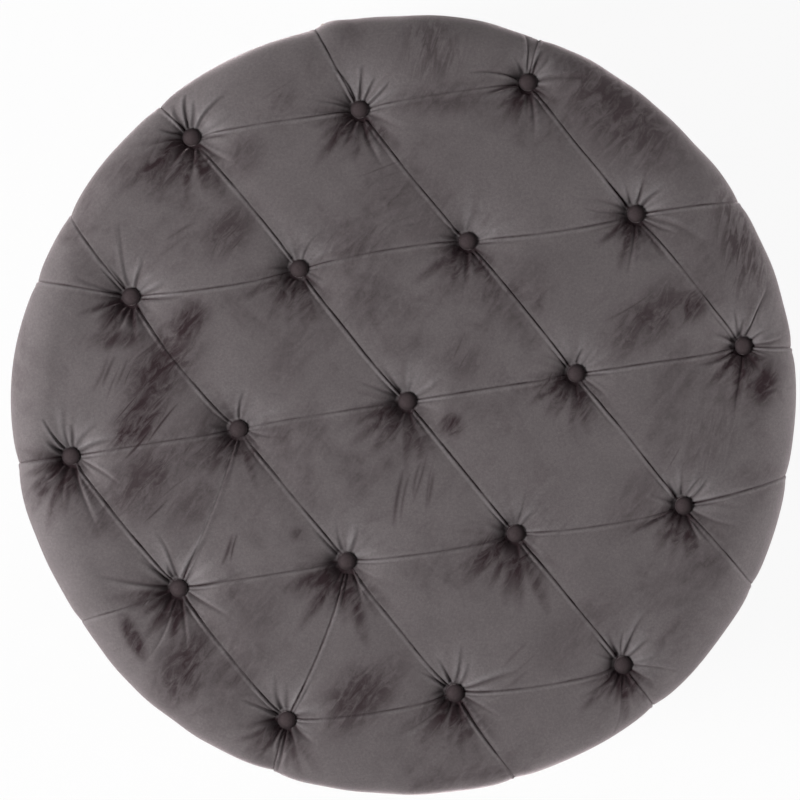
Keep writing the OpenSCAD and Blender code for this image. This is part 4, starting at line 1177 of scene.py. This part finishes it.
def swell(points, section, seats, lines):
    """How far the velvet swells between its buttons and pleats, from a cloth that is laid over
    the pad, held at both and blown up from below. It is worked out on a coarse grid."""
    step = 0.010
    half = int(section.widest / step) + 3
    n = 2 * half + 1
    x, y = np.meshgrid(*[np.arange(-half, half + 1) * step] * 2)
    flat = np.stack([x.ravel(), y.ravel()], 1)
    s, a = radii(flat), np.arctan2(flat[:, 1], flat[:, 0])
    lift, held = np.zeros(len(flat)), (s > section.widest) * 1.0
    for seat in seats.values():
        d = radii(flat - seat)
        lift -= 0.018 * np.exp(-d / 0.018)
        held = np.maximum(held, d < 0.011)
    for line, strength, *_ in lines:
        held = np.maximum(held, 0.5 * strength * (np.abs(nearest(flat, line)[0]) < step * 0.55))
    r, z, nr, nz = section.walk(np.minimum(s, section.under)).T
    start = revolved(r + nr * lift, a, z + nz * lift)
    corner = np.arange(n * n).reshape(n, n)
    faces = np.stack([corner[:-1, :-1], corner[:-1, 1:], corner[1:, 1:], corner[1:, :-1]], -1)
    faces = faces.reshape(-1, 4)
    faces = faces[(s[faces] < section.widest + 0.025).all(1)]
    rise = ((blown_up(start, faces, held) - start) * revolved(nr, a, nz)).sum(1)
    if not np.isfinite(rise).all():
        raise RuntimeError("the swelling cloth came apart")
    rise = (np.clip(rise, -0.001, 0.012) * 0.55 * (s < section.widest)).reshape(n, n)
    for _ in range(2):
        wide = np.pad(rise, 1, mode="edge")
        rise = (wide[:-2, 1:-1] + wide[2:, 1:-1] + wide[1:-1, :-2] + wide[1:-1, 2:] + 4 * rise) / 8
    value = read_grid(rise, points[:, 0] / step + half, points[:, 1] / step + half)
    value -= np.median(value[radii(points) < 0.3]) * 0.6
    return value * np.clip((from_button(points, seats) - 0.011) / 0.012, 0, 1) \
        * np.clip((section.widest - radii(points)) / 0.05, 0, 1)


def lid_cloth(pad):
    """The closed skin of the lid's pad: velvet outside, and the line of the board inside."""
    section = lid_section(pad)
    rng = np.random.default_rng(pad.seed)
    seats = button_seats(section)
    lines = pleat_lines(section, seats, rng)
    wrinkles, strokes = wrinkle_lines(seats, pad, rng), stroke_lines(rng)
    points = lid_points(section, seats, lines, wrinkles, strokes)
    relief = lid_relief(points, section, seats, lines, wrinkles, strokes, pad, rng)
    lift = relief.lift + swell(points, section, seats, lines)
    s, a = radii(points), np.arctan2(points[:, 1], points[:, 0])
    r, z, nr, nz = section.walk(np.minimum(s, section.length)).T
    place = revolved(r + nr * lift, a, z + nz * lift)
    board = section.rim + pad.cover_t
    bed = board + AIR
    place[over_leaf(place, LID_LEAF_HALF) & (s > section.edge) & (place[:, 2] < bed), 2] = bed
    inner, outer, clear = float(np.hypot(*place[-1, :2])), pad.board_r + 0.0004, 0.0002
    top = board + pad.board_t + clear
    rows = [(inner, board - clear), (outer, board - clear), (outer, top), (0, top)]
    more, quads = ring_rows(np.arange(len(points) - LID_RIM, len(points)), rows, len(points))
    inside = np.zeros(len(more))
    marks = {label: np.concatenate([values, inside]) for label, values in relief.marks().items()}
    faces = [*triangles(points), *quads]
    return mesh_object("lid_velvet", np.concatenate([place, more]), faces, marks)


class OTTOMAN_OT_lid(bpy.types.Operator):
    """Makes the buttoned velvet pad of the lid"""
    bl_idname = "ottoman.lid"
    bl_label = "Buttoned Lid"

    def execute(self, context):
        made = finishes(context.scene)
        piece = lid_cloth(context.scene.ottoman_pad)
        finish_piece(piece, "lid", made["velvet"],
                     ("lid_cover", "lid_batting", "lid_foam"))
        return {"FINISHED"}


# ---- The drum ----

def drum_points(section, drum):
    """Points of the drum's cloth laid flat: close together at its bends, seam and hinges."""
    total = DRUM_START + section.length
    bends = [section.inside, section.inside + 0.0010, section.inside + 0.0019, section.rim,
             (section.rim + section.side) / 2, section.side, section.foot, section.under]
    rim, under = DRUM_START + section.rim, DRUM_START + section.under
    recess = leaf_recess(DRUM_LEAF_HALF, section.radius - drum.rim_r, drum.rim_r, rim, 1)
    down = np.linspace(rim, under, 200)
    seam = [np.stack([np.full_like(down, gap), down], 1)
            for gap in (-0.005, -0.0025, -0.0012, 0.0, 0.0012, 0.0025, 0.005)]
    lines = np.concatenate([recess, *seam])
    rings = clear_of(np.concatenate([ring(DRUM_START + s, DRUM_RIM) for s in bends]), lines, 0.0015)
    lines = np.concatenate([lines, rings])
    points = honeycomb(total, 0.0062,
                       lambda p: (radii(p) > DRUM_START + 0.004) & (radii(p) < total - 0.005))
    return np.concatenate([clear_of(points, lines, 0.0035), lines, ring(DRUM_START, DRUM_RIM),
                           ring(total, DRUM_RIM)])


def drum_relief(section, drum, s, a):
    """How far the drum's velvet stands out, the painted shade in its seam and gathers, and how its
    pile is laid.
    """
    on_side = np.clip((s - section.rim) / 0.02, 0, 1) * np.clip((section.under - s) / 0.012, 0, 1)
    t = (s - section.side) / (section.foot - section.side)
    slack = np.sin(a * 9 + 0.7) * 0.5 + np.sin(a * 17 + 2.0 * t) * 0.3 \
        + np.sin(a * 31 - 3.0 * t) * 0.2
    lift = drum.slack * slack * on_side
    ends = np.exp(-np.clip(1 - t, 0, 9) / 0.10) + 0.5 * np.exp(-np.clip(t, 0, 9) / 0.07)
    pulls = np.abs(np.sin(a * 52 + 1.9 * np.sin(a * 4))) ** 6 * (0.6 + 0.4 * np.sin(a * 7))
    lift -= 0.0009 * pulls * np.clip(ends, 0, 1) * on_side
    d = (a - math.pi / 2) * section.radius
    lift -= drum.seam * bell(d, 0.0013) * on_side
    lift += drum.seam * 0.45 * bell(np.abs(d) - 0.0035, 0.002) * on_side
    # Painted shade in the seam's groove.
    fold = np.clip(0.8 * bell(d, 0.0011) * on_side, 0, 1)
    under = np.clip((s - section.under) / 0.02, 0, 1) * (s < section.length - 1e-6)
    gathers = 1 - np.abs(np.sin(a * 58 + 2.2 * np.sin(a * 6)))
    lift += under * 0.0003 * (0.5 - gathers)
    # Painted shade in the troughs of the gathers underneath.
    fold = np.maximum(fold, 0.6 * under * gathers ** 6)
    brushed = np.clip(np.sin(a * 3.0 + 0.4) * np.sin(t * 4.0 + a * 2) * 0.2, 0, 1) * on_side
    return lift, fold, brushed


def drum_cloth(drum, pad):
    """The closed skin of the drum's velvet, with its back set in by the cloth's thickness."""
    section = drum_section(drum)
    points = drum_points(section, drum)
    s = np.clip(radii(points) - DRUM_START, 0, section.length)
    a = np.arctan2(points[:, 1], points[:, 0])
    lift, fold, brushed = drum_relief(section, drum, s, a)
    r, z, nr, nz = section.walk(s).T
    place = revolved(r + nr * lift, a, z + nz * lift)
    bed = section.top - pad.cover_t - AIR
    place[over_leaf(place, DRUM_LEAF_HALF) & (s < section.side) & (place[:, 2] > bed), 2] = bed
    back = drum_section(drum, pad.cover_t - 0.0002)
    walk = back.walk(np.array([back.length, back.under + 0.001, (back.under + back.foot) / 2,
                               back.foot, back.side, (back.side + back.rim) / 2, back.rim,
                               back.rim - 0.03, 0.0299, 0.0]))
    rows = [(float(row[0]), float(row[1])) for row in walk]
    rows[-1] = (rows[-1][0], section.top - drum.inner_wrap)
    end = len(points)
    more, quads = ring_rows(np.arange(end - DRUM_RIM, end), rows, end)
    last = np.arange(end + len(more) - DRUM_RIM, end + len(more))
    quads += quads_between(last, np.arange(end - 2 * DRUM_RIM, end - DRUM_RIM))
    inside = np.zeros(len(more))
    marks = {"fold": np.concatenate([fold, inside]), "brushed": np.concatenate([brushed, inside])}
    piece = mesh_object("drum_velvet", np.concatenate([place, more]),
                        [*triangles(points, DRUM_START * 0.9995), *quads], marks)
    piece.data.set_sharp_from_angle(angle=math.radians(60))
    return piece


class OTTOMAN_OT_drum(bpy.types.Operator):
    """Makes the velvet on the drum, with its seam at the back"""
    bl_idname = "ottoman.drum"
    bl_label = "Drum Velvet"

    def execute(self, context):
        made = finishes(context.scene)
        piece = drum_cloth(context.scene.ottoman_drum, context.scene.ottoman_pad)
        finish_piece(piece, "base", made["drum_velvet"], ("drum_cover",))
        return {"FINISHED"}


# ---- Linings, dust cloth and staples ----

def disc_object(name, radius, z0, z1, edge, relief, count=240, rings=26):
    """A thin round panel with a rounded edge. relief(radius, angle, face) raises each vertex,
    with face -1 below, 1 above and 0 round the edge."""
    flat = [radius * (k / rings) ** 0.9 for k in range(1, rings)]
    profile = [(r, z0, -1) for r in flat]
    for k in range(7):
        a = -math.pi / 2 + math.pi * k / 6
        height = (z0 + z1) / 2 + (z1 - z0) / 2 * math.sin(a)
        profile.append((radius - edge + edge * math.cos(a), height, 0))
    profile += [(r, z1, 1) for r in reversed(flat)]
    a = np.arange(count) * 2 * math.pi / count
    verts = [np.array([[0, 0, z0]])]
    verts += [revolved(r, a, z + relief(np.full(count, r), a, face)) for r, z, face in profile]
    verts = np.concatenate([*verts, np.array([[0, 0, z1]])])
    faces = [(0, 1 + (i + 1) % count, 1 + i) for i in range(count)]
    for k in range(len(profile) - 1):
        p, q = 1 + k * count, 1 + (k + 1) * count
        faces += [(p + i, p + (i + 1) % count, q + (i + 1) % count, q + i) for i in range(count)]
    p = 1 + (len(profile) - 1) * count
    faces += [(p + i, p + (i + 1) % count, len(verts) - 1) for i in range(count)]
    return mesh_object(name, verts, faces)


def tube_faces(rows, count):
    """Faces of a wall of rows of vertices, with a second set of rows behind it."""
    n = rows * count
    faces = []
    for row in range(rows - 1):
        for i in range(count):
            p, q, j = row * count, (row + 1) * count, (i + 1) % count
            faces.append((p + i, q + i, q + j, p + j))
            faces.append((n + p + i, n + p + j, n + q + j, n + q + i))
    for i in range(count):
        j, p = (i + 1) % count, (rows - 1) * count
        faces.append((i, j, n + j, n + i))
        faces.append((p + i, n + p + i, n + p + j, p + j))
    return faces


def wall_lining(material):
    """The lining round the storage space, with ripples, and a seam at the back."""
    low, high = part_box("wall_lining")
    r, z0, z1 = round(high[0], 4), low[2], high[2]
    thickness, count, rows = 0.001, 480, 30
    around = np.arange(count + 1) * 2 * math.pi / count + math.pi / 2
    a, up = np.meshgrid(around, np.linspace(0, 1, rows))
    ripple = 0.00035 * np.sin(a * 23 + 3 * up) * np.sin(up * math.pi) \
        + 0.00030 * np.sin(a * 61 + np.sin(up * 5)) * np.exp(-up / 0.2)
    seam = np.minimum(a - math.pi / 2, 2.5 * math.pi - a) * r
    ripple = ripple - 0.0006 * bell(seam, 0.0015)
    z = z0 + (z1 - z0) * up
    front, rear = revolved(r - thickness - np.abs(ripple) * 0.9, a, z), revolved(r - 0.0001, a, z)
    verts = np.concatenate([front[:, :-1].reshape(-1, 3), rear[:, :-1].reshape(-1, 3)])
    uv = np.stack([(a[:, :-1] - math.pi / 2) * r, z[:, :-1]], -1).reshape(-1, 2)
    wall = mesh_object("wall_lining_cloth", verts, tube_faces(rows, count),
                       uv=np.concatenate([uv, uv]))
    finish_piece(wall, "base", material, ("wall_lining",))


def floor_panel(material):
    """The padded panel on the floor of the storage space."""
    low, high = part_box("floor_panel")

    def soft(r, a, face):
        return 0.0002 * face * (np.sin(r * np.cos(a) * 31 + 1) * np.sin(r * np.sin(a) * 27) - 1)

    panel = disc_object("floor_panel_lined", high[0] - 0.0002, low[2] + 0.0001, high[2],
                        0.0012, soft)
    finish_piece(panel, "base", material, ("floor_panel",))


def dust_cloth(material):
    """The cloth that is stapled over the underside."""
    low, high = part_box("dust_cover")

    def sag(r, a, face):
        flat = np.clip((high[0] - r) / 0.03, 0, 1) * np.clip((r - 0.02) / 0.2, 0, 1)
        return 0.0003 * flat * np.sin(a * 14) * np.sin(r * 60) * (face != 0)

    radius = high[0] - 0.0002
    dust = disc_object("dust_cloth_sheet", radius, low[2], high[2] - 0.0001, 0.0003, sag)
    finish_piece(dust, "base", material, ("dust_cover",))


class OTTOMAN_OT_linings(bpy.types.Operator):
    """Makes the lining of the wall, the lined panels and the dust cloth underneath"""
    bl_idname = "ottoman.linings"
    bl_label = "Linings"

    def execute(self, context):
        made = finishes(context.scene)
        wall_lining(made["wall_lining"])
        floor_panel(made["lining"])
        dust_cloth(made["dust_cloth"])
        return {"FINISHED"}


def staple_nodes(drum, radius, z, material):
    """Geometry nodes that set staples on a ring, facing down, at slightly uneven angles."""
    tree = bpy.data.node_groups.new("Staple Ring", "GeometryNodeTree")
    tree.interface.new_socket(name="Geometry", in_out="INPUT", socket_type="NodeSocketGeometry")
    values = {"Count": ("NodeSocketInt", drum.staples), "Radius": ("NodeSocketFloat", radius),
              "Height": ("NodeSocketFloat", z), "Length": ("NodeSocketFloat", drum.staple_l),
              "Wire": ("NodeSocketFloat", drum.staple_t), "Seed": ("NodeSocketInt", 5)}
    for label, (kind, value) in values.items():
        socket = tree.interface.new_socket(name=label, in_out="INPUT", socket_type=kind)
        socket.default_value = value
    tree.interface.new_socket(name="Geometry", in_out="OUTPUT", socket_type="NodeSocketGeometry")
    ins, out = tree.nodes.new("NodeGroupInput").outputs, tree.nodes.new("NodeGroupOutput")
    circle = add(tree, "GeometryNodeMeshCircle", {"Vertices": ins["Count"],
                                                  "Radius": ins["Radius"]})
    lowered = add(tree, "ShaderNodeCombineXYZ", {"Z": ins["Height"]})
    points = add(tree, "GeometryNodeSetPosition", {"Geometry": circle.outputs[0],
                                                   "Offset": lowered.outputs[0]})
    half = maths(tree, "MULTIPLY", ins["Length"], 0.5)
    left = add(tree, "ShaderNodeCombineXYZ", {"X": maths(tree, "MULTIPLY", half, -1.0)})
    right = add(tree, "ShaderNodeCombineXYZ", {"X": half})
    line = add(tree, "GeometryNodeCurvePrimitiveLine", {"Start": left.outputs[0],
                                                        "End": right.outputs[0]})
    crown = add(tree, "GeometryNodeResampleCurve", {"Curve": line.outputs[0], "Count": 11})
    share = add(tree, "GeometryNodeSplineParameter").outputs["Factor"]
    from_middle = maths(tree, "SUBTRACT", maths(tree, "MULTIPLY", share, 2.0), 1.0)
    legs = maths(tree, "POWER", maths(tree, "ABSOLUTE", from_middle), 9.0)
    legs = maths(tree, "MULTIPLY", legs, 0.0016)
    upwards = add(tree, "ShaderNodeCombineXYZ", {"Z": legs})
    shaped = add(tree, "GeometryNodeSetPosition", {"Geometry": crown.outputs[0],
                                                   "Offset": upwards.outputs[0]})
    wire = add(tree, "GeometryNodeCurvePrimitiveQuadrilateral", {
        "Width": ins["Wire"], "Height": maths(tree, "MULTIPLY", ins["Wire"], 0.6)})
    staple = add(tree, "GeometryNodeCurveToMesh", {
        "Curve": shaped.outputs[0], "Profile Curve": wire.outputs[0], "Fill Caps": True})
    where = add(tree, "GeometryNodeInputPosition").outputs[0]
    heading = maths(tree, "ARCTAN2", part_of(tree, where, 1), part_of(tree, where, 0))
    lowest, highest = 2, 3
    uneven = add(tree, "FunctionNodeRandomValue", {
        lowest: -0.16, highest: 0.16, "Seed": ins["Seed"]}, data_type="FLOAT")
    turn = maths(tree, "ADD", maths(tree, "ADD", heading, math.pi / 2), uneven.outputs[1])
    euler = add(tree, "ShaderNodeCombineXYZ", {"Z": turn})
    set_out = add(tree, "GeometryNodeInstanceOnPoints", {
        "Points": points.outputs[0], "Instance": staple.outputs[0], "Rotation": euler.outputs[0]})
    real = add(tree, "GeometryNodeRealizeInstances", {0: set_out.outputs[0]})
    done = add(tree, "GeometryNodeSetMaterial", {"Geometry": real.outputs[0]})
    done.inputs["Material"].default_value = material
    tree.links.new(done.outputs[0], out.inputs[0])
    return tree, {label: value for label, (_, value) in values.items()}


def from_nodes(name, tree, values):
    """A plain mesh object made by a geometry node tree with its inputs set."""
    holder = bpy.data.objects.new(name + "_holder", bpy.data.meshes.new(name + "_holder"))
    bpy.context.scene.collection.objects.link(holder)
    nodes = holder.modifiers.new("nodes", "NODES")
    nodes.node_group = tree
    for item in tree.interface.items_tree:
        if item.in_out == "INPUT" and item.name in values:
            nodes[item.identifier] = values[item.name]
    bpy.context.view_layer.update()
    ready = holder.evaluated_get(bpy.context.evaluated_depsgraph_get())
    mesh = bpy.data.meshes.new_from_object(ready)
    mesh.name = name
    made = bpy.data.objects.new(name, mesh)
    bpy.context.scene.collection.objects.link(made)
    holder.modifiers.clear()
    bpy.data.objects.remove(holder)
    if not len(mesh.polygons):
        raise RuntimeError(name + " came out empty")
    return made


class OTTOMAN_OT_staples(bpy.types.Operator):
    """Sets the staples that hold the dust cloth under the drum"""
    bl_idname = "ottoman.staples"
    bl_label = "Staples"

    def execute(self, context):
        made = finishes(context.scene)
        low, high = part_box("dust_cover")
        drum = context.scene.ottoman_drum
        tree, values = staple_nodes(drum, high[0] - 0.007, low[2] - drum.staple_t * 0.2,
                                    made["steel"])
        piece = from_nodes("dust_cloth_staples", tree, values)
        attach(piece, "base")
        return {"FINISHED"}


class OTTOMAN_OT_finish(bpy.types.Operator):
    """Gives the boards, feet, hinges, stays, buttons and twines their finishes"""
    bl_idname = "ottoman.finish"
    bl_label = "Wood and Metal"

    def execute(self, context):
        made = finishes(context.scene)
        for part in frame["record"]["subparts"]:
            name = "button_velvet" if part["node"] == "tuft_buttons" else part["material_slot"]
            for slot in frame["nodes"][part["node"]].material_slots:
                slot.material = made[name]
        return {"FINISHED"}


# ---- Stage ----

def seen_directly(tree):
    """1 for what the camera sees itself, or in a mirror or through glass."""
    path = add(tree, "ShaderNodeLightPath").outputs
    return maths(tree, "MAXIMUM", path["Is Camera Ray"],
                 maths(tree, "MAXIMUM", path["Is Glossy Ray"], path["Is Transmission Ray"]))


def white_floor():
    """A wide floor that looks white, and takes a faint shadow."""
    half = 12.0
    corners = [(-half, -half, 0), (half, -half, 0), (half, half, 0), (-half, half, 0)]
    floor = mesh_object("floor", corners, [(0, 1, 2, 3)])
    made, tree, shader = shader_material("floor", Roughness=0.9)
    speck = spread(tree, noise(tree, object_place(tree), 40.0, 3.0), 0.3, 0.7, 0.80, 0.84)
    tree.links.new(grey(tree, speck), shader.inputs["Base Color"])
    white = add(tree, "ShaderNodeEmission", {"Color": (1, 1, 1, 1), "Strength": 1.0})
    both = add(tree, "ShaderNodeMixShader", {0: maths(tree, "MULTIPLY", seen_directly(tree), 0.92),
                                             1: shader.outputs[0], 2: white.outputs[0]})
    tree.links.new(both.outputs[0], tree.nodes["Material Output"].inputs["Surface"])
    floor.data.materials.append(made)


def soft_light(scene, name, place, size, power):
    """A round lamp that is aimed at the ottoman."""
    lamp = bpy.data.lights.new(name, "AREA")
    lamp.shape, lamp.size, lamp.energy = "DISK", size, power
    holder = bpy.data.objects.new(name, lamp)
    holder.location = place
    holder.rotation_euler = (AIM - Vector(place)).to_track_quat("-Z", "Y").to_euler()
    scene.collection.objects.link(holder)


def surroundings(scene, stage):
    """White to the camera. Lights evenly, and more from low down."""
    scene.world = bpy.data.worlds.new("surroundings")
    scene.world.use_nodes = True
    tree = scene.world.node_tree
    back = tree.nodes["Background"]
    back.inputs["Color"].default_value = (1, 1, 1, 1)
    height = part_of(tree, add(tree, "ShaderNodeTexCoord").outputs["Generated"], 2)
    low_down = maths(tree, "MULTIPLY", spread(tree, height, 0.45, 0.15), stage.sides)
    even = maths(tree, "ADD", low_down, stage.sky)
    strength = spread(tree, seen_directly(tree), 0.0, 1.0, even, 1.0)
    tree.links.new(strength, back.inputs["Strength"])


def camera_above(scene, stage):
    """Straight above the lid, with its widest line filling the chosen span."""
    camera = bpy.data.cameras.new("camera")
    camera.sensor_width = SENSOR
    camera.lens = SENSOR * stage.distance / stage.span
    camera.clip_end = 50.0
    holder = bpy.data.objects.new("camera", camera)
    holder.location = (*CAMERA_XY, WIDEST_Z + stage.distance)
    scene.collection.objects.link(holder)
    scene.camera = holder
    scene.view_settings.view_transform = "Standard"


class OTTOMAN_OT_stage(bpy.types.Operator):
    """Sets the floor, the lights and the camera"""
    bl_idname = "ottoman.stage"
    bl_label = "Stage"

    def execute(self, context):
        scene, stage = context.scene, context.scene.ottoman_stage
        white_floor()
        soft_light(scene, "key_light", (-3.9, -1.3, 4.2), 2.2, stage.key)
        soft_light(scene, "side_light", (3.7, -0.6, 0.6), 1.4, stage.side)
        soft_light(scene, "left_light", (-3.8, 0.3, 0.35), 1.2, stage.left)
        soft_light(scene, "fill_light", (0.9, 2.3, 2.7), 2.2, stage.fill)
        surroundings(scene, stage)
        camera_above(scene, stage)
        return {"FINISHED"}


class OTTOMAN_PT_panel(bpy.types.Panel):
    """The ottoman's settings and pieces"""
    bl_idname = "OTTOMAN_PT_panel"
    bl_label = "Storage Ottoman"
    bl_space_type = "VIEW_3D"
    bl_region_type = "UI"
    bl_category = "Ottoman"

    def draw(self, context):
        layout = self.layout
        for label, name, kind in GROUPS:
            box = layout.box()
            box.label(text=label)
            settings = getattr(context.scene, name)
            for prop in kind.__annotations__:
                box.prop(settings, prop)
        for operator in OPERATORS:
            layout.operator(operator.bl_idname)


GROUPS = [("Lid", "ottoman_pad", PadSettings), ("Drum", "ottoman_drum", DrumSettings),
          ("Finishes", "ottoman_finish", FinishSettings), ("Stage", "ottoman_stage", StageSettings)]
OPERATORS = [OTTOMAN_OT_stage, OTTOMAN_OT_lid, OTTOMAN_OT_drum, OTTOMAN_OT_linings,
             OTTOMAN_OT_staples, OTTOMAN_OT_finish]
CLASSES = [kind for _, _, kind in GROUPS] + OPERATORS + [OTTOMAN_PT_panel]


def register():
    for kind in CLASSES:
        bpy.utils.register_class(kind)
    for _, name, kind in GROUPS:
        setattr(bpy.types.Scene, name, PointerProperty(type=kind))


def unregister():
    for _, name, _ in GROUPS:
        delattr(bpy.types.Scene, name)
    for kind in reversed(CLASSES):
        bpy.utils.unregister_class(kind)


def main():
    register()
    bpy.ops.ottoman.stage()
    bpy.ops.ottoman.lid()
    bpy.ops.ottoman.drum()
    bpy.ops.ottoman.linings()
    bpy.ops.ottoman.staples()
    bpy.ops.ottoman.finish()


if __name__ == "__main__":
    main()
